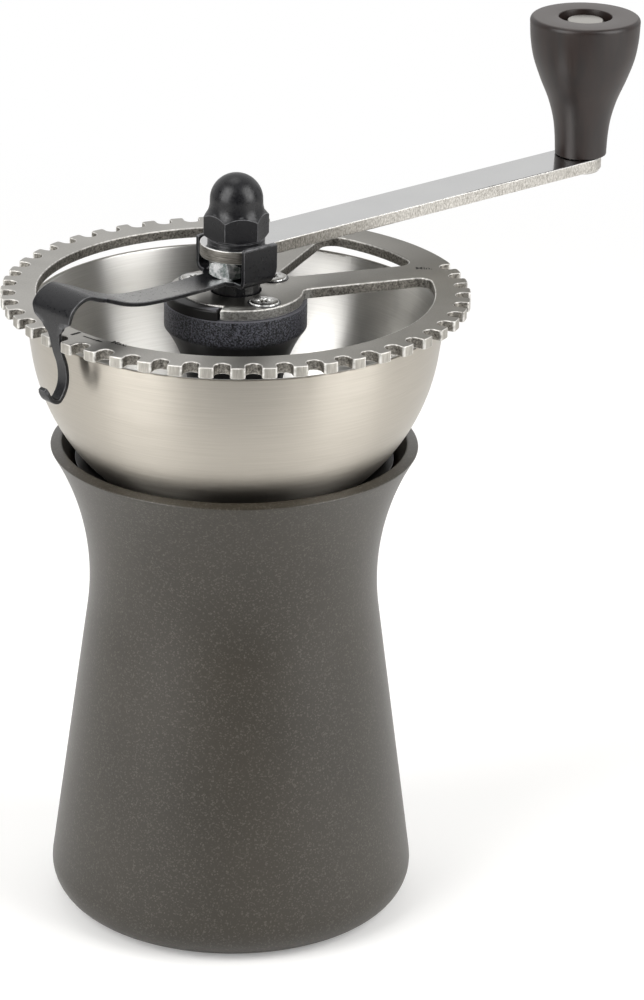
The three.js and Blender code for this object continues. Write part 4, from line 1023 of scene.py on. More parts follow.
# The rest of the wheel: hub plate, spokes and the inside of the rim, out to the joint with the notches.
wheel_holes = [
    window(SPOKES[0], SPOKES[1], plain_hub_edge),
    window(SPOKES[1], SPOKES[0] + 360, cutout_hub_edge),
    circle(0, 0, INSERT_BOSS_RADIUS + FIT_GAP, 40),
    *[circle(*polar(SCREW_CIRCLE, SCREW_START + i * SCREW_STEP), SCREW_HOLE, 20) for i in range(3)],
]
joint_angles = [FIRST_NOTCH - half_turn + NOTCH_ANGLE * i / RIM_STEPS for i in range(NOTCH_COUNT * RIM_STEPS)]
joint = [polar(RIM_JOINT, angle) for angle in joint_angles]
joint += arc(0, 0, RIM_JOINT, plain_from, plain_to, plain_steps)[:-1]
mesh = bmesh.new()
walls = [
    side_walls(mesh, directed(hole, False), wheel_z, wheel_top, WHEEL_EDGE, WHEEL_EDGE_MIDDLE)
    for hole in wheel_holes
]
joint_low, joint_high = [[mesh.verts.new((x, y, z)) for x, y in joint] for z in (wheel_z, wheel_top)]
close_plate(mesh, [(joint, joint_low, joint_high), *walls])
mark_edges_for_wear_and_highlight(mesh)
wheel = to_object(mesh, "cog_wheel_plate")
join_copies(wheel, plain_rim, blanked_steel)
join_copies(wheel, notch, blanked_steel, NOTCH_COUNT, FIRST_NOTCH, NOTCH_ANGLE)
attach(wheel, "adjuster")
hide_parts("cog_wheel")


# Marks on the wheel.
# Etched into the rim and filled black: a stroke where the finger stands at the finest setting, an arrow that
# shows the way to turn, and the words Max. and Min. at the two ends of the notches.

MARK_LIFT = 0.02 * mm
MARK_LINE = 0.8 * mm
MARK_THIN_LINE = 0.42 * mm
LETTER_HEIGHT = 2.3 * mm
LETTER_SWELL = 0.04 * mm
STROKE_ANGLE = 221.9
STROKE_FROM = 45.6 * mm
STROKE_TO = 48.2 * mm
ARROW_RADIUS = 46.7 * mm
ARROW_START = 224.7
ARROW_STOP = 231.6
ARROW_HEAD = 1.5 * mm
ARROW_POINT = 0.3 * mm
MAX_START = 233.6
MAX_RADIUS = 46 * mm
MIN_PLACE = (41 * mm, 14.9 * mm)

# Black etching filler: flat and matt.
etch_black, shader, place = start_material("etching_filler", "#1d1b19", 0.0, 0.7)
wire(shader, base_color=mixed(noise(place, 0.3 * mm, 3), "#141312", "#3a3733"))


def turned(point, degrees):
    """Turns a point about the axis."""
    x, y = point
    cos, sin = math.cos(math.radians(degrees)), math.sin(math.radians(degrees))
    return x * cos - y * sin, x * sin + y * cos


half_line = MARK_LINE / 2
half_thin = MARK_THIN_LINE / 2
stroke = [
    (STROKE_FROM, -half_line), (STROKE_TO, -half_line), (STROKE_TO, half_line), (STROKE_FROM, half_line),
]
arrow_tip = [
    (ARROW_RADIUS - ARROW_HEAD / 3, -ARROW_HEAD), (ARROW_RADIUS + ARROW_HEAD / 3, -ARROW_HEAD),
    (ARROW_RADIUS, ARROW_POINT),
]
arrow_line = [
    *arc(0, 0, ARROW_RADIUS - half_thin, ARROW_START, ARROW_STOP, 10),
    *arc(0, 0, ARROW_RADIUS + half_thin, ARROW_STOP, ARROW_START, 10),
]
mark_z = wheel_top + MARK_LIFT
mesh = bmesh.new()
for outline in (
    [turned(p, STROKE_ANGLE) for p in stroke], arrow_line, [turned(p, ARROW_STOP) for p in arrow_tip],
):
    face = mesh.faces.new([mesh.verts.new((x, y, mark_z)) for x, y in outline])
    face.normal_update()
    if face.normal.z < 0:
        face.normal_flip()
for word, degrees, origin in (
    ("Max.", MAX_START + 90, polar(MAX_RADIUS, MAX_START)),
    ("Min.", 0, MIN_PLACE),
):
    letters = bpy.data.curves.new(word, "FONT")
    letters.body = word
    letters.size = LETTER_HEIGHT
    letters.offset = LETTER_SWELL
    letters.resolution_u = 4
    text = show(bpy.data.objects.new(word, letters))
    graph = bpy.context.evaluated_depsgraph_get()
    flat_word = bpy.data.meshes.new_from_object(text.evaluated_get(graph))
    word_turn = Matrix.Rotation(math.radians(degrees), 4, "Z")
    flat_word.transform(Matrix.Translation((*origin, mark_z)) @ word_turn)
    mesh.from_mesh(flat_word)
    bpy.data.objects.remove(text)
marks = to_object(mesh, "wheel_marks")
marks.data.materials.append(etch_black)
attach(marks, "adjuster")


# Hub screws and threaded insert.
# Three low-headed screws with a six-lobed socket hold the wheel on its hub, each on a thin dark washer. They
# are zinc-plated, and their flat faces mirror what is near.

SCREW_HEAD_RADIUS = 3.35 * mm
SCREW_HEAD_HEIGHT = 0.5 * mm
SCREW_FACE = 0.3 * mm
SCREW_NECK = 0.6 * mm
SCREW_SHANK_RADIUS = 1.5 * mm
SCREW_LENGTH = 10.5 * mm
SCREW_WASHER_RADIUS = 3.8 * mm
SCREW_WASHER_HEIGHT = 0.12 * mm
SCREW_WASHER_EDGE = 0.05 * mm
SCREW_WASHER_LIFT = 0.01 * mm
SOCKET_RADIUS = 1.5 * mm
SOCKET_LOBE = 0.24 * mm
SOCKET_DEPTH = 0.9 * mm
SOCKET_EDGE = 0.12 * mm
SOCKET_DRAFT = 0.1 * mm
SOCKET_POINTS = 72
SOCKET_POINT_DEPTH = 0.4 * mm
# Where the upper side of the index arm is painted grey as a reflection, from the axis outwards: it sets in,
# is full, fades and ends.
ARM_PAINTED_SHEEN = (11 * mm, 20 * mm, 34 * mm, 42 * mm)
# How the screw head's side runs: inwards from its full radius, and up from the wheel.
SCREW_SIDE = [(0.1 * mm, 0.02 * mm), (0, 0.2 * mm), (0.08 * mm, SCREW_HEAD_HEIGHT - 0.08 * mm)]

# Zinc plating, clear passivated: bright blue-white, slightly uneven.
zinc_plate, shader, place = start_material("zinc_plating", "#b9bab8", 1.0, 0.18)
cloudy = noise(place, 1.6 * mm, 4, 0.6)
clouds = ranged(cloudy, 0.38, 0.6)
wire(shader, base_color=mixed(clouds, "#848e8b", "#ffffff"), roughness=ranged(cloudy, 0, 1, 0.05, 0.16))

# Zinc plating rolled flat on the screw heads: greyer and duller than on the nut, with a painted highlight
# along its edges.
screw_zinc, shader, place = start_material("zinc_plated_screw", "#8c8983", 1.0, 0.14)
lighten_edges_as_wear_and_highlight(shader, mixed(noise(place, 1.1 * mm, 4, 0.6), "#6e6b66", "#a5a29b"), "#f4f4f2", metal_left=0.4)

# Black oxide on steel: a thin blue-black film, satin and blotchy. Its edges are painted light, partly as
# rubbed-through wear and partly as a painted highlight, and the upper side of the index arm is painted grey
# as a painted reflection.
black_oxide, shader, place = start_material("black_oxide_steel", "#0f0f10", 0.0, 0.3, ior=1.5)
blotch = noise(place, 0.7 * mm, 5, 0.7)
reach = length(flat_of(place))
sheen_from, sheen_full, sheen_fade, sheen_end = ARM_PAINTED_SHEEN
on_arm = calc("MULTIPLY", ranged(reach, sheen_from, sheen_full), ranged(reach, sheen_end, sheen_fade))
arm_top_sheen = calc("MULTIPLY", on_arm, ranged(upward(place), 0.9, 0.97))
lighten_edges_as_wear_and_highlight(shader, mixed(arm_top_sheen, mixed(blotch, "#040406", "#131317"), "#767573"), "#6a6a6c")
wire(shader, roughness=ranged(blotch, 0.3, 0.7, 0.22, 0.46))
bump(shader, blotch, 0.5, 0.03 * mm)


def lobed(growth):
    """The radius of a six-lobed socket, as a function of the angle."""
    return lambda angle: SOCKET_RADIUS - SOCKET_LOBE + SOCKET_LOBE * math.cos(6 * angle) + growth


screw_top = wheel_top + SCREW_HEAD_HEIGHT
screw_rings = [
    (0, wheel_top - SCREW_LENGTH),
    (SCREW_SHANK_RADIUS, wheel_top - SCREW_LENGTH),
    (SCREW_SHANK_RADIUS, wheel_top - SCREW_NECK),
    *[(SCREW_HEAD_RADIUS - inwards, wheel_top + up) for inwards, up in SCREW_SIDE],
    (SCREW_HEAD_RADIUS - SCREW_FACE, screw_top),
    (lobed(SOCKET_EDGE), screw_top),
    (lobed(0), screw_top - SOCKET_EDGE),
    (lobed(-SOCKET_DRAFT), screw_top - SOCKET_DEPTH),
    (0, screw_top - SOCKET_DEPTH - SOCKET_POINT_DEPTH),
]


def turned_rings(rings, points):
    """Rings of points from radii and heights; a radius of nothing gives a single point."""
    return [level_ring(radius, height, points if radius else 1) for radius, height in rings]


one_screw = loft("one_screw", turned_rings(screw_rings, SOCKET_POINTS), screw_zinc)
screws = to_object(bmesh.new(), "hub_screws")
join_copies(screws, one_screw, screw_zinc, 3, SCREW_START, SCREW_STEP, SCREW_CIRCLE)
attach(screws, "adjuster")
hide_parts("hub_screw_1", "hub_screw_2", "hub_screw_3")

one_washer = loft("one_washer", turned_rings([
    (SCREW_SHANK_RADIUS, wheel_top + SCREW_WASHER_LIFT),
    (SCREW_WASHER_RADIUS, wheel_top + SCREW_WASHER_LIFT),
    (SCREW_WASHER_RADIUS - SCREW_WASHER_EDGE, wheel_top + SCREW_WASHER_HEIGHT),
    (SCREW_SHANK_RADIUS, wheel_top + SCREW_WASHER_HEIGHT),
], SOCKET_POINTS), black_oxide, closed=True)
one_washer.data.attributes.remove(one_washer.data.attributes["worn_and_highlit"])
screw_washers = to_object(bmesh.new(), "hub_screw_washers")
join_copies(screw_washers, one_washer, black_oxide, 3, SCREW_START, SCREW_STEP, SCREW_CIRCLE)
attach(screw_washers, "adjuster")

refinish(black_oxide, "threaded_insert", "drive_shaft")
refinish(zinc_plate, "burr_washer", "burr_nut")


# Index strip and its bracket.
# Bent from one millimetre spring steel and blackened. The bracket's two cheeks stand beside the crank, an arm
# runs out over the wheel to a broad head, and the narrow finger drops through a notch and ends in a curl.

STRIP_THICKNESS = 1 * mm
STRIP_REACH = 53.4 * mm
STRIP_DROP = 17.65 * mm
STRIP_AZIMUTH = 221.9
ARM_WIDTH = 8 * mm
HEAD_WIDTH = 13 * mm
FINGER_WIDTH = 3 * mm
STRIP_ROWS = 150
STRIP_COLUMNS = 5
STRIP_EDGE = 0.2 * mm
# The strip's way as shares of its reach and its drop, and its width at shares of its length.
STRIP_WAY_SHARES = [
    (0.1, 0), (0.3, 0), (0.45, 0.01), (0.57, 0.035), (0.66, 0.09), (0.745, 0.185), (0.81, 0.27),
    (0.86, 0.325), (0.905, 0.37), (0.945, 0.345), (0.98, 0.275), (0.998, 0.2), (1, 0.09), (0.987, -0.16),
    (0.972, -0.36), (0.95, -0.56), (0.945, -0.75), (0.956, -0.88), (0.99, -1), (1.03, -0.945), (1.056, -0.8),
]
STRIP_WIDTH_SHARES = [
    (0, ARM_WIDTH), (0.44, ARM_WIDTH), (0.475, 9 * mm), (0.5, 12.2 * mm), (0.52, HEAD_WIDTH),
    (0.645, HEAD_WIDTH), (0.668, 12 * mm), (0.695, 6.6 * mm), (0.718, 3.7 * mm), (0.745, FINGER_WIDTH),
    (0.985, FINGER_WIDTH), (1, 2 * mm),
]
CRANK_AZIMUTH = 40.1
CHEEK_INNER = 8.5 * mm
NEAR_CHEEK_HEIGHT = 9.4 * mm
FAR_CHEEK_HEIGHT = 8.2 * mm
CHEEK_FRONT = 4.1 * mm
NEAR_CHEEK_BACK = -5.6 * mm
FAR_CHEEK_BACK = -3.9 * mm
CHEEK_FOOT_ROUNDING = 4 * mm
CHEEK_TOP_ROUNDING = 0.5 * mm
CHEEK_BEND = 1.5 * mm
CHEEK_EDGE = 0.18 * mm
CHEEK_STEPS = 24
FLOOR_STEPS = 12
DISC_RADIUS = 7.6 * mm
DISC_EDGE = 0.15 * mm

bracket_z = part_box("index_bracket")[0][2]


def centripetal(points, per_span):
    """A smooth way through points, as the CAD's strip takes it."""
    points = [Vector(p) for p in points]
    points = [2 * points[0] - points[1], *points, 2 * points[-1] - points[-2]]
    way = []
    for p0, p1, p2, p3 in zip(points, points[1:], points[2:], points[3:]):
        t1 = (p1 - p0).length ** 0.5
        t2 = t1 + (p2 - p1).length ** 0.5
        t3 = t2 + (p3 - p2).length ** 0.5
        for i in range(per_span):
            t = t1 + (t2 - t1) * i / per_span
            a1 = p0.lerp(p1, t / t1)
            a2 = p1.lerp(p2, (t - t1) / (t2 - t1))
            a3 = p2.lerp(p3, (t - t2) / (t3 - t2))
            b1 = a1.lerp(a2, t / t2)
            b2 = a2.lerp(a3, (t - t1) / (t3 - t1))
            way.append(b1.lerp(b2, (t - t1) / (t2 - t1)))
    return [*way, points[-2]]


def along_way(way, share):
    """The point that lies a share of the whole length along a way."""
    lengths = [0]
    for a, b in zip(way, way[1:]):
        lengths.append(lengths[-1] + (b - a).length)
    wanted = share * lengths[-1]
    for i in range(1, len(way)):
        if lengths[i] >= wanted - 1e-12:
            return way[i - 1].lerp(way[i], (wanted - lengths[i - 1]) / (lengths[i] - lengths[i - 1]))
    return way[-1]


def width_at(share):
    """The strip's width at a share of its length, eased between the given widths."""
    for (a, low), (b, high) in zip(STRIP_WIDTH_SHARES, STRIP_WIDTH_SHARES[1:]):
        if share <= b:
            blend = (share - a) / (b - a)
            return low + (high - low) * blend * blend * (3 - 2 * blend)
    return STRIP_WIDTH_SHARES[-1][1]


def strip_tree():
    """A tree that draws a flat strip along a chain of edges, each point with its own width."""
    tree, given = start_tree("strip along a way", {"Columns": "Int", "Finish": "Material"})
    way = add(tree, "GeometryNodeMeshToCurve", {0: given["Geometry"]})
    width = add(tree, "GeometryNodeInputNamedAttribute", {"Name": "half_width"}, data_type="FLOAT")
    width = width.outputs["Attribute"]
    sized = add(tree, "GeometryNodeSetCurveRadius", {"Curve": way.outputs[0], "Radius": width})
    line = add(tree, "GeometryNodeCurvePrimitiveLine", {"Start": (-1, 0, 0), "End": (1, 0, 0)})
    columns = add(tree, "GeometryNodeResampleCurve", {"Curve": line.outputs[0], "Count": given["Columns"]})
    ribbon = add(tree, "GeometryNodeCurveToMesh", {
        "Curve": sized.outputs[0], "Profile Curve": columns.outputs[0],
    })
    if "Scale" in ribbon.inputs:
        radius = add(tree, "GeometryNodeInputRadius")
        tree.links.new(radius.outputs[0], ribbon.inputs["Scale"])
    real = add(tree, "GeometryNodeRealizeInstances", {"Geometry": ribbon.outputs[0]})
    return end_tree(tree, real.outputs[0], given["Finish"])


def break_edges(thing, width):
    """Bevels an object's sharp edges in two steps and marks them for painted wear and highlight."""
    bevel = thing.modifiers.new("edges", "BEVEL")
    bevel.width = width
    bevel.segments = 2
    bevel.limit_method = "ANGLE"
    bevel.angle_limit = math.radians(50)
    keep_evaluated(thing)
    mesh = bmesh.new()
    mesh.from_mesh(thing.data)
    mark_edges_for_wear_and_highlight(mesh)
    mesh.to_mesh(thing.data)
    mesh.free()
    shade_mesh(thing.data, 20)


strip_way = centripetal([(x * STRIP_REACH, 0, z * STRIP_DROP) for x, z in STRIP_WAY_SHARES], 12)
strip_turn = Matrix.Rotation(math.radians(STRIP_AZIMUTH), 4, "Z")
strip_placing = Matrix.Translation((0, 0, bracket_z + STRIP_THICKNESS / 2)) @ strip_turn
strip_centres = [strip_placing @ along_way(strip_way, i / STRIP_ROWS) for i in range(STRIP_ROWS + 1)]
strip_data = bpy.data.meshes.new("index_strip")
strip_data.from_pydata(strip_centres, [(i, i + 1) for i in range(STRIP_ROWS)], [])
half_widths = strip_data.attributes.new("half_width", "FLOAT", "POINT")
for i in range(STRIP_ROWS + 1):
    half_widths.data[i].value = width_at(i / STRIP_ROWS) / 2
strip = show(bpy.data.objects.new("index_strip", strip_data))
grow(strip, strip_tree(), {"Columns": STRIP_COLUMNS, "Finish": black_oxide})
thicken = strip.modifiers.new("thickness", "SOLIDIFY")
thicken.thickness = STRIP_THICKNESS
thicken.offset = 0
thicken.use_even_offset = True
break_edges(strip, STRIP_EDGE)
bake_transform(strip)
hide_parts("index_finger")

# The bracket: one strip bent to a channel, its cheeks rounded at their corners.
half_thickness = STRIP_THICKNESS / 2
cheek_middle = CHEEK_INNER + half_thickness
bend_middle = cheek_middle - CHEEK_BEND
bend_top = half_thickness + CHEEK_BEND
far_straight = bend_top - FAR_CHEEK_HEIGHT
near_straight = NEAR_CHEEK_HEIGHT - bend_top
channel = [
    *[(cheek_middle, FAR_CHEEK_HEIGHT + far_straight * i / CHEEK_STEPS) for i in range(CHEEK_STEPS)],
    *arc(bend_middle, bend_top, CHEEK_BEND, 0, -90, 8),
    *[(bend_middle - 2 * bend_middle * i / FLOOR_STEPS, half_thickness) for i in range(1, FLOOR_STEPS)],
    *arc(-bend_middle, bend_top, CHEEK_BEND, 270, 180, 8),
    *[(-cheek_middle, bend_top + near_straight * i / CHEEK_STEPS) for i in range(1, CHEEK_STEPS + 1)],
]


def corner_cut(height, cheek_height, foot_rounding):
    """How far the rounded corners draw a cheek's edge back at a height."""
    for rise, rounding in ((height, foot_rounding), (cheek_height - height, CHEEK_TOP_ROUNDING)):
        if rise < rounding:
            return rounding - math.sqrt(max(0, rounding ** 2 - (rounding - rise) ** 2))
    return 0


rings = []
for i, (across, height) in enumerate(channel):
    before = Vector(channel[max(i - 1, 0)])
    after = Vector(channel[min(i + 1, len(channel) - 1)])
    way = (after - before).normalized()
    cheek_height = FAR_CHEEK_HEIGHT if across > 0 else NEAR_CHEEK_HEIGHT
    farness = (across + cheek_middle) / (2 * cheek_middle)
    back = NEAR_CHEEK_BACK + (FAR_CHEEK_BACK - NEAR_CHEEK_BACK) * farness
    back += corner_cut(height, cheek_height, 0)
    front = CHEEK_FRONT - corner_cut(height, cheek_height, CHEEK_FOOT_ROUNDING)
    inside, outside = -half_thickness, half_thickness
    ring = []
    for x, out in ((back, inside), (front, inside), (front, outside), (back, outside)):
        y, z = across - way.y * out, height + way.x * out
        ring.append((*turned((x, y), CRANK_AZIMUTH), bracket_z + z))
    rings.append(ring)
bracket = loft("bracket_channel", rings, black_oxide, crease=25)
break_edges(bracket, CHEEK_EDGE)
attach(bracket, "drive")

disc = plate("bracket_disc", circle(0, 0, DISC_RADIUS, 64), [circle(0, 0, HUB_BORE, 40)], bracket_z,
             bracket_z + STRIP_THICKNESS, DISC_EDGE, black_oxide)
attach(disc, "drive")
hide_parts("index_bracket")


# Lock nut, dome nut and crank washer.
# A zinc-plated hexagon nut clamps the bracket from above, and the crank lies on it. A blackened dome nut and
# a thin washer hold the crank. The corners of both nuts are turned off, which leaves curved facets.

NUT_FLATS = 13 * mm
NUT_CHAMFER = 0.95 * mm
NUT_CORNER = 0.04 * mm
NUT_LINE = 0.13 * mm
NUT_POINTS = 288
LOCK_NUT_ANGLE = 37.5
NUT_FACE_RADIUS = NUT_FLATS / 2 - 0.1 * mm
DOME_NUT_ANGLE = 10
DOME_HEX_HEIGHT = 6.2 * mm
DOME_RADIUS = 6 * mm
DOME_BORE_DEPTH = 1 * mm
DOME_FOOT_RADIUS = NUT_FLATS / 2 - 0.35 * mm
DOME_FOOT_RISE = 0.15 * mm
DOME_FOOT_CHAMFER = 0.5 * mm
DOME_SHOULDER = 0.35 * mm
# The hollow between hexagon and dome: outwards from the dome's radius, and up from the hexagon.
DOME_NECK = [(0.25 * mm, 0.35 * mm), (0.03 * mm, 1.4 * mm)]
WASHER_TRIM = 0.5 * mm
WASHER_EDGE = 0.2 * mm


def hexagonal(flats, turned_by, growth=0.0):
    """The radius of a hexagon with slightly broken corners, as a function of the angle."""
    corner = flats / math.sqrt(3) - NUT_CORNER

    def radius(angle):
        side = (math.degrees(angle) - turned_by) % 60 - 30
        return min(flats / 2 / math.cos(math.radians(side)), corner) + growth

    return radius


def facet_ring(radius_at, height, drop, move=0.0, inwards=0.0):
    """A ring on a nut's hexagon that falls by a drop from the middle of each flat to the corners."""
    ring = []
    for i in range(NUT_POINTS):
        angle = 2 * math.pi * i / NUT_POINTS
        radius = radius_at(angle)
        share = (radius - NUT_FLATS / 2) / (NUT_FLATS / math.sqrt(3) - NUT_FLATS / 2)
        reach = radius - inwards
        ring.append((reach * math.cos(angle), reach * math.sin(angle), height - drop * share + move))
    return ring


nut_low, nut_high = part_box("lock_nut")
lock_hex = hexagonal(NUT_FLATS, LOCK_NUT_ANGLE)
lock_nut = loft("zinc_lock_nut", [
    level_ring(HUB_BORE, nut_low[2], NUT_POINTS),
    level_ring(NUT_FACE_RADIUS, nut_low[2], NUT_POINTS),
    facet_ring(lock_hex, nut_low[2], -NUT_CHAMFER),
    facet_ring(lock_hex, nut_high[2], NUT_CHAMFER),
    level_ring(NUT_FACE_RADIUS, nut_high[2], NUT_POINTS),
    level_ring(HUB_BORE, nut_high[2], NUT_POINTS),
], zinc_plate, closed=True, crease=20)
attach(lock_nut, "drive")
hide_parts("lock_nut")

dome_low, dome_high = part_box("dome_nut")
dome_z = dome_low[2]
hex_top = dome_z + DOME_HEX_HEIGHT
dome_hex = hexagonal(NUT_FLATS, DOME_NUT_ANGLE)
dome_foot = (dome_hex, dome_z + DOME_FOOT_RISE, -DOME_FOOT_CHAMFER)
dome_head = (dome_hex, hex_top - DOME_SHOULDER, NUT_CHAMFER)
dome_nut = loft("black_dome_nut", [
    [(0, 0, dome_z + DOME_BORE_DEPTH)],
    level_ring(HUB_BORE, dome_z + DOME_BORE_DEPTH, NUT_POINTS),
    level_ring(HUB_BORE, dome_z, NUT_POINTS),
    level_ring(DOME_FOOT_RADIUS, dome_z, NUT_POINTS),
    facet_ring(*dome_foot),
    facet_ring(*dome_foot, move=NUT_LINE),
    facet_ring(*dome_head, move=-NUT_LINE),
    facet_ring(*dome_head),
    facet_ring(*dome_head, move=NUT_LINE, inwards=NUT_LINE),
    level_ring(NUT_FACE_RADIUS, hex_top, NUT_POINTS),
    *[level_ring(DOME_RADIUS + out, hex_top + up, NUT_POINTS) for out, up in DOME_NECK],
    *[level_ring(*point, NUT_POINTS) for point in arc(0, dome_high[2] - DOME_RADIUS, DOME_RADIUS, 0, 84, 14)],
    [(0, 0, dome_high[2])],
], black_oxide, crease=24)
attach(dome_nut, "drive")
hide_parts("dome_nut")


washer_low, washer_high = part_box("crank_washer")
washer_radius = (washer_high[0] - washer_low[0]) / 2 - WASHER_TRIM
washer_profile = steps(HUB_BORE, washer_low[2], washer_radius, washer_high[2], HUB_BORE)
washer = lathe("black_crank_washer", soften(washer_profile, WASHER_EDGE), black_oxide, sides=96)
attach(washer, "drive")
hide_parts("crank_washer")


# Bearing column and its screws.
# The moulded black column stands on three ribbed arms on the bowl's floor and guides the shaft. Through each
# arm's round foot a blackened cap screw clamps column, bowl, collar and burr housing together.

COLUMN_RADIUS = 9.6 * mm
COLUMN_BOSS_RADIUS = 8.8 * mm
COLUMN_BOSS = 6 * mm
COLUMN_EDGE = 0.35 * mm
SPIDER_THICKNESS = 3 * mm
SPIDER_ARM_WIDTH = 5.6 * mm
SPIDER_FOOT_RADIUS = 3.95 * mm
SPIDER_CIRCLE = THROAT_RADIUS + FIT_GAP + SPIDER_FOOT_RADIUS
SPIDER_START = 90
SPIDER_STEP = 120
SPIDER_EDGE = 0.3 * mm
ROOT_DEPTH = 0.4 * mm
RIB_THICKNESS = 2.4 * mm
RIB_HEIGHT = 12 * mm
RIB_SINK = 1 * mm
RIB_EDGE = 0.2 * mm
RIB_STEPS = 16
CAP_RADIUS = 2.75 * mm
CAP_HEIGHT = 3 * mm
CAP_SHANK_RADIUS = 1.5 * mm
CAP_SHANK = 10 * mm
CAP_SOCKET = 2.5 * mm
CAP_SOCKET_DEPTH = 1.4 * mm
CAP_SOCKET_POINT = 0.3 * mm
CAP_EDGE = 0.1 * mm
# How the cap screw's upper edge is rounded: inwards from its full radius, and down from its top.
CAP_ROUNDING = [(0, 0.35 * mm), (0.12 * mm, 0.12 * mm), (0.35 * mm, 0)]

bush_low, bush_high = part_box("upper_bush")
column_bore = (bush_high[1] - bush_low[1]) / 2 + FIT_GAP
column_low, column_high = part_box("bearing_column")
column_z = column_low[2] + COLUMN_BOSS
arm_z = column_z + SPIDER_THICKNESS
column_profile = steps(
    column_bore, column_low[2], COLUMN_BOSS_RADIUS, column_z, COLUMN_RADIUS, column_high[2], column_bore,
)
column = lathe("bearing_column_moulding", soften(column_profile, COLUMN_EDGE), moulded_black, sides=96)
arm_root = COLUMN_RADIUS - ROOT_DEPTH
foot_turn = math.degrees(math.asin(SPIDER_ARM_WIDTH / 2 / SPIDER_FOOT_RADIUS))
arm_outline = [
    (arm_root, -SPIDER_ARM_WIDTH / 2),
    *arc(SPIDER_CIRCLE, 0, SPIDER_FOOT_RADIUS, -180 + foot_turn, 180 - foot_turn, 32),
    (arm_root, SPIDER_ARM_WIDTH / 2),
]
arm_hole = circle(SPIDER_CIRCLE, 0, CAP_SHANK_RADIUS + FIT_GAP, 24)
arm = plate("one_arm", arm_outline, [arm_hole], column_z, arm_z, SPIDER_EDGE, moulded_black)
rib_reach = THROAT_RADIUS - COLUMN_RADIUS
rib_fall = RIB_HEIGHT - SPIDER_THICKNESS
rib_top = column_z + RIB_HEIGHT
rib_angles = [math.radians(270 - 90 * i / RIB_STEPS) for i in range(RIB_STEPS + 1)]
rib_outline = [
    (arm_root, column_z + RIB_SINK),
    (THROAT_RADIUS, column_z + RIB_SINK),
    *[(THROAT_RADIUS + rib_reach * math.cos(a), rib_top + rib_fall * math.sin(a)) for a in rib_angles],
    (arm_root, rib_top),
]
rib = plate("one_rib", rib_outline, [], -RIB_THICKNESS / 2, RIB_THICKNESS / 2, RIB_EDGE, moulded_black)
rib.data.transform(Matrix.Rotation(math.radians(90), 4, "X"))
join_copies(arm, rib, moulded_black)
join_copies(column, arm, moulded_black, 3, SPIDER_START, SPIDER_STEP)
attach(column, "hopper")
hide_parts("bearing_column")

cap_top = arm_z + CAP_HEIGHT
socket_floor = cap_top - CAP_SOCKET_DEPTH
one_cap = loft("one_cap_screw", turned_rings([
    (0, arm_z - CAP_SHANK),
    (CAP_SHANK_RADIUS, arm_z - CAP_SHANK),
    (CAP_SHANK_RADIUS, arm_z),
    (CAP_RADIUS - CAP_EDGE, arm_z),
    (CAP_RADIUS, arm_z + CAP_EDGE),
    *[(CAP_RADIUS - inwards, cap_top - down) for inwards, down in CAP_ROUNDING],
    (hexagonal(CAP_SOCKET, 0, CAP_EDGE), cap_top),
    (hexagonal(CAP_SOCKET, 0), cap_top - CAP_EDGE),
    (hexagonal(CAP_SOCKET, 0), socket_floor),
    (0, socket_floor - CAP_SOCKET_POINT),
], SOCKET_POINTS), black_oxide)
caps = to_object(bmesh.new(), "column_cap_screws")
join_copies(caps, one_cap, black_oxide, 3, SPIDER_START, SPIDER_STEP, SPIDER_CIRCLE)
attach(caps, "hopper")
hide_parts("column_screw_1", "column_screw_2", "column_screw_3")


# Burr spring.
# A coil of 1 mm spring wire between the lower bush and the inner burr, which takes the play out of the
# adjusting thread. It is pressed together as the burr rises.

SPRING_WIRE = 0.5 * mm
SPRING_TURNS = 3
SPRING_STEPS = 48
WIRE_SIDES = 12

spring_low, spring_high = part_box("burr_spring")
spring_radius = (spring_high[0] - spring_low[0]) / 2 - SPRING_WIRE
spring_length = spring_high[2] - spring_low[2]
coil = []
for i in range(SPRING_TURNS * SPRING_STEPS + 1):
    along = 360 * i / SPRING_STEPS
    z = spring_low[2] + SPRING_WIRE + (spring_length - 2 * SPRING_WIRE) * i / (SPRING_TURNS * SPRING_STEPS)
    ring = []
    for side in range(WIRE_SIDES):
        around = math.radians(360 * side / WIRE_SIDES)
        radius = spring_radius + SPRING_WIRE * math.sin(around)
        ring.append((*polar(radius, along), z + SPRING_WIRE * math.cos(around)))
    coil.append(ring)
spring = loft("burr_spring_coil", coil, burr_steel, crease=60)
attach(spring, "hopper")
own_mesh(spring)
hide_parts("burr_spring")


# Crank arm.
# A flat bar of 3 mm steel with a round eye and a round end, blanked and then polished on top. The shear has
# left a rolled-over edge on top and upright lines down its sides.

CRANK_WIDTH = 12 * mm
EYE_RADIUS = 8.2 * mm
EYE_FILLET = 5 * mm
CRANK_LENGTH = 107.4 * mm
CRANK_END_INSET = 1.4 * mm
SHAFT_FLAT = 2.9 * mm
SHAFT_RADIUS = 4 * mm
PIN_RADIUS = 3 * mm
CRANK_EDGE = 0.28 * mm
EYE_STRIPES = 0.5 * mm
SHEAR_SHADE_TO = 14 * mm
SHEAR_LIT_FROM = 45 * mm

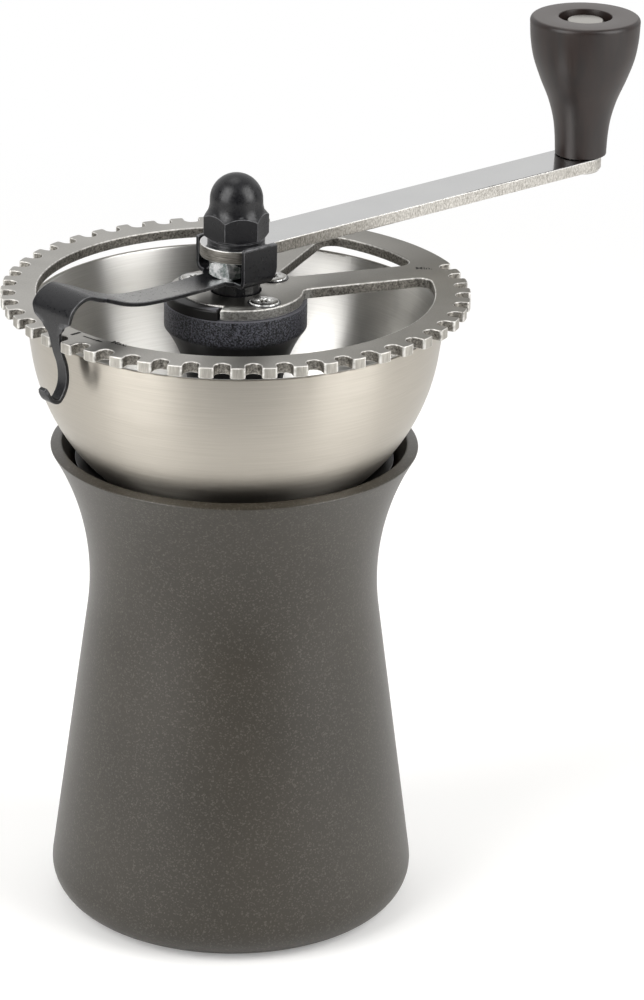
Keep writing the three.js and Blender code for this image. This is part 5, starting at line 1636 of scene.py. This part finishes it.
crank_low, crank_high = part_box("crank_arm")
half = CRANK_WIDTH / 2
fillet_y = half + EYE_FILLET
fillet_x = math.sqrt((EYE_RADIUS + EYE_FILLET) ** 2 - fillet_y ** 2)
fillet_turn = math.degrees(math.atan2(fillet_y, fillet_x))
crank_outline = [
    *arc(CRANK_LENGTH - CRANK_END_INSET, 0, half, -90, 90, 32),
    *arc(fillet_x, fillet_y, EYE_FILLET, 270, 180 + fillet_turn, 8),
    *arc(0, 0, EYE_RADIUS, fillet_turn, 360 - fillet_turn, 64)[1:-1],
    *arc(fillet_x, -fillet_y, EYE_FILLET, 180 - fillet_turn, 90, 8),
]
eye_turn = math.degrees(math.asin((SHAFT_FLAT + FIT_GAP) / (SHAFT_RADIUS + FIT_GAP)))
eye = [
    *arc(0, 0, SHAFT_RADIUS + FIT_GAP, -eye_turn, eye_turn, 12),
    *arc(0, 0, SHAFT_RADIUS + FIT_GAP, 180 - eye_turn, 180 + eye_turn, 12),
]
pin_hole = circle(CRANK_LENGTH, 0, PIN_RADIUS + FIT_GAP, 40)

# Polished and nickelled bar: nearly a mirror on its faces, with a painted highlight along its edges. Its
# sides are sheared and striped, painted darker near the eye as shade, and round the eye itself the stripes
# lie level.
polished_bar, shader, place = start_material("polished_nickelled_steel", "#bfbfbd", 1.0, 0.13)
tree = shader.id_data
is_face = calc("GREATER_THAN", calc("ABSOLUTE", upward(place)), 0.5)
reach = length(add(tree, "ShaderNodeMapping", {"Vector": place, "Scale": (1, 1, 0)}).outputs[0])
on_bar = calc("GREATER_THAN", reach, EYE_RADIUS + EYE_STRIPES)
side_place = add(tree, "ShaderNodeMix", {
    0: on_bar, 4: stretched(place, 3 * mm, 0.25 * mm), 5: stretched(place, 0.3 * mm, 0.7 * mm),
}, data_type="VECTOR").outputs[1]
shear = noise(side_place, 1, 3, 0.6)
shear_share = ranged(shear, 0.3, 0.7)
shear_shaded = mixed(shear_share, "#625e57", "#aeaaa3")
shear_lit = mixed(shear_share, "#98948d", "#e2dfd9")
shear_colour = mixed(ranged(reach, SHEAR_SHADE_TO, SHEAR_LIT_FROM), shear_shaded, shear_lit)
buff_colour = mixed(noise(place, 9 * mm, 3), "#cacaca", "#d4d4d3")
lighten_edges_as_wear_and_highlight(shader, mixed(is_face, shear_colour, buff_colour), "#f2f1ee", metal_left=0.35)
wire(shader, roughness=between(is_face, 0.42, 0.12))
bump(shader, between(is_face, shear, 0.5), 0.5, 0.08 * mm)

crank_loops = [[turned(p, CRANK_AZIMUTH) for p in loop] for loop in (crank_outline, eye, pin_hole)]
crank = plate(
    "crank_bar", crank_loops[0], crank_loops[1:], crank_low[2], crank_high[2], CRANK_EDGE, polished_bar,
)
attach(crank, "drive")
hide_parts("crank_arm")


# Knob, its pin and its washer.
# A turned beech knob, stained dark and lacquered, spins on a steel pin that is riveted to the crank. The
# pin's head lies in a recess in the knob's top and is knurled round its rim. The foot hides a zinc washer.

KNOB_RADIUS = 13.1 * mm
KNOB_ROUNDING = 1.1 * mm
KNOB_RECESS_RADIUS = 6.3 * mm
KNOB_RECESS_DEPTH = 3.2 * mm
KNOB_BORE = 4.5 * mm
KNOB_FOOT = 0.72 * mm
KNOB_FOOT_WALL = 0.7 * mm
KNOB_EDGE = 0.4 * mm
# The knob's side: shares of its height and of its radius.
KNOB_SHARES = [
    (0, 0.47), (0.12, 0.485), (0.25, 0.525), (0.4, 0.625), (0.56, 0.785), (0.72, 0.92), (0.86, 0.98), (1, 1),
]
PIN_HEAD_RADIUS = 4.6 * mm
PIN_HEAD_HEIGHT = 2.1 * mm
PIN_EDGE = 0.5 * mm
RIVET_RADIUS = 4.6 * mm
KNURLS = 36
KNURL_DEPTH = 0.3 * mm
KNURL_HALF_WIDTH = 0.34 * mm
KNURL_FROM = 0.15 * mm
KNURL_TO = 1.35 * mm
KNURL_END = 1.6 * mm
KNURL_SINK = 0.2 * mm
WASHER_PLAY = 0.02 * mm
KNOB_WASHER_EDGE = 0.1 * mm

knob_low, knob_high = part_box("wooden_knob")
knob_z, knob_top = knob_low[2], knob_high[2]
knob_centre = turned((CRANK_LENGTH, 0), CRANK_AZIMUTH)
shoulder = knob_top - knob_z - KNOB_ROUNDING
knob_side = centripetal([(r * KNOB_RADIUS, knob_z + z * shoulder, 0) for z, r in KNOB_SHARES], 8)
foot_radius = KNOB_SHARES[0][1] * KNOB_RADIUS
foot_inner = foot_radius - KNOB_FOOT_WALL
knob_profile = [
    *steps(KNOB_BORE, knob_z, foot_inner, knob_z - KNOB_FOOT, foot_radius),
    *[tuple(p.xy) for p in knob_side],
    *arc(KNOB_RADIUS - KNOB_ROUNDING, knob_z + shoulder, KNOB_ROUNDING, 15, 90, 6),
    (KNOB_RECESS_RADIUS, knob_top),
    *steps(KNOB_RECESS_RADIUS, knob_top - KNOB_RECESS_DEPTH, KNOB_BORE),
]

# Stained beech under satin lacquer: dark brown with a red cast, softly streaked along the grain, and painted
# greyer on its upward faces as a sheen from above.
dark_lacquer, shader, place = start_material(
    "stained_lacquered_beech", "#201a18", 0.0, 0.42, coat_weight=0.12, coat_roughness=0.3,
)
wood = noise(stretched(place, 3 * mm, 28 * mm), 1, 4, distortion=0.4)
stain = mixed(ranged(wood, 0.35, 0.65), "#180f0c", "#231611")
wire(shader, base_color=mixed(ranged(upward(place), 0.85, 0.97), stain, "#4a4441"))

knob = lathe("turned_knob", soften(knob_profile, KNOB_EDGE), dark_lacquer, sides=128, centre=knob_centre)
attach(knob, "knob")
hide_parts("wooden_knob")

# Free-cutting steel, turned: bright grey with a fine circular sheen.
turned_steel, shader, place = start_material("turned_steel", "#bab7b1", 1.0, 0.3)
wire(shader, roughness=ranged(noise(place, 0.4 * mm, 4), 0, 1, 0.22, 0.4))

pin_low, pin_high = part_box("knob_pin")
head_z = pin_high[2] - PIN_HEAD_HEIGHT
head_core = PIN_HEAD_RADIUS - KNURL_DEPTH
pin_profile = steps(0, pin_low[2], RIVET_RADIUS, crank_low[2], PIN_RADIUS, head_z, head_core, pin_high[2], 0)
pin = lathe("knob_pin_turned", soften(pin_profile, PIN_EDGE), turned_steel, sides=96)
knurl_corners = [(0, -KNURL_HALF_WIDTH), (KNURL_DEPTH, 0), (0, KNURL_HALF_WIDTH), (-KNURL_DEPTH, 0)]
one_knurl = loft("one_knurl", [
    *[[(x, y, head_z + up) for x, y in knurl_corners] for up in (KNURL_FROM, KNURL_TO)],
    [(-KNURL_SINK, 0, head_z + KNURL_END)],
], turned_steel)
join_copies(pin, one_knurl, turned_steel, KNURLS, 0, 360 / KNURLS, head_core)
pin.data.transform(Matrix.Translation((*knob_centre, 0)))
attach(pin, "drive")
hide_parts("knob_pin")

spacer_low, spacer_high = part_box("knob_washer")
spacer_bore, spacer_top = PIN_RADIUS + FIT_GAP, spacer_high[2] - WASHER_PLAY
spacer_profile = soften(
    steps(spacer_bore, spacer_low[2], foot_inner - FIT_GAP, spacer_top, spacer_bore), KNOB_WASHER_EDGE,
)
spacer = lathe("knob_washer_turned", spacer_profile, zinc_plate, sides=96, centre=knob_centre)
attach(spacer, "drive")
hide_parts("knob_washer")
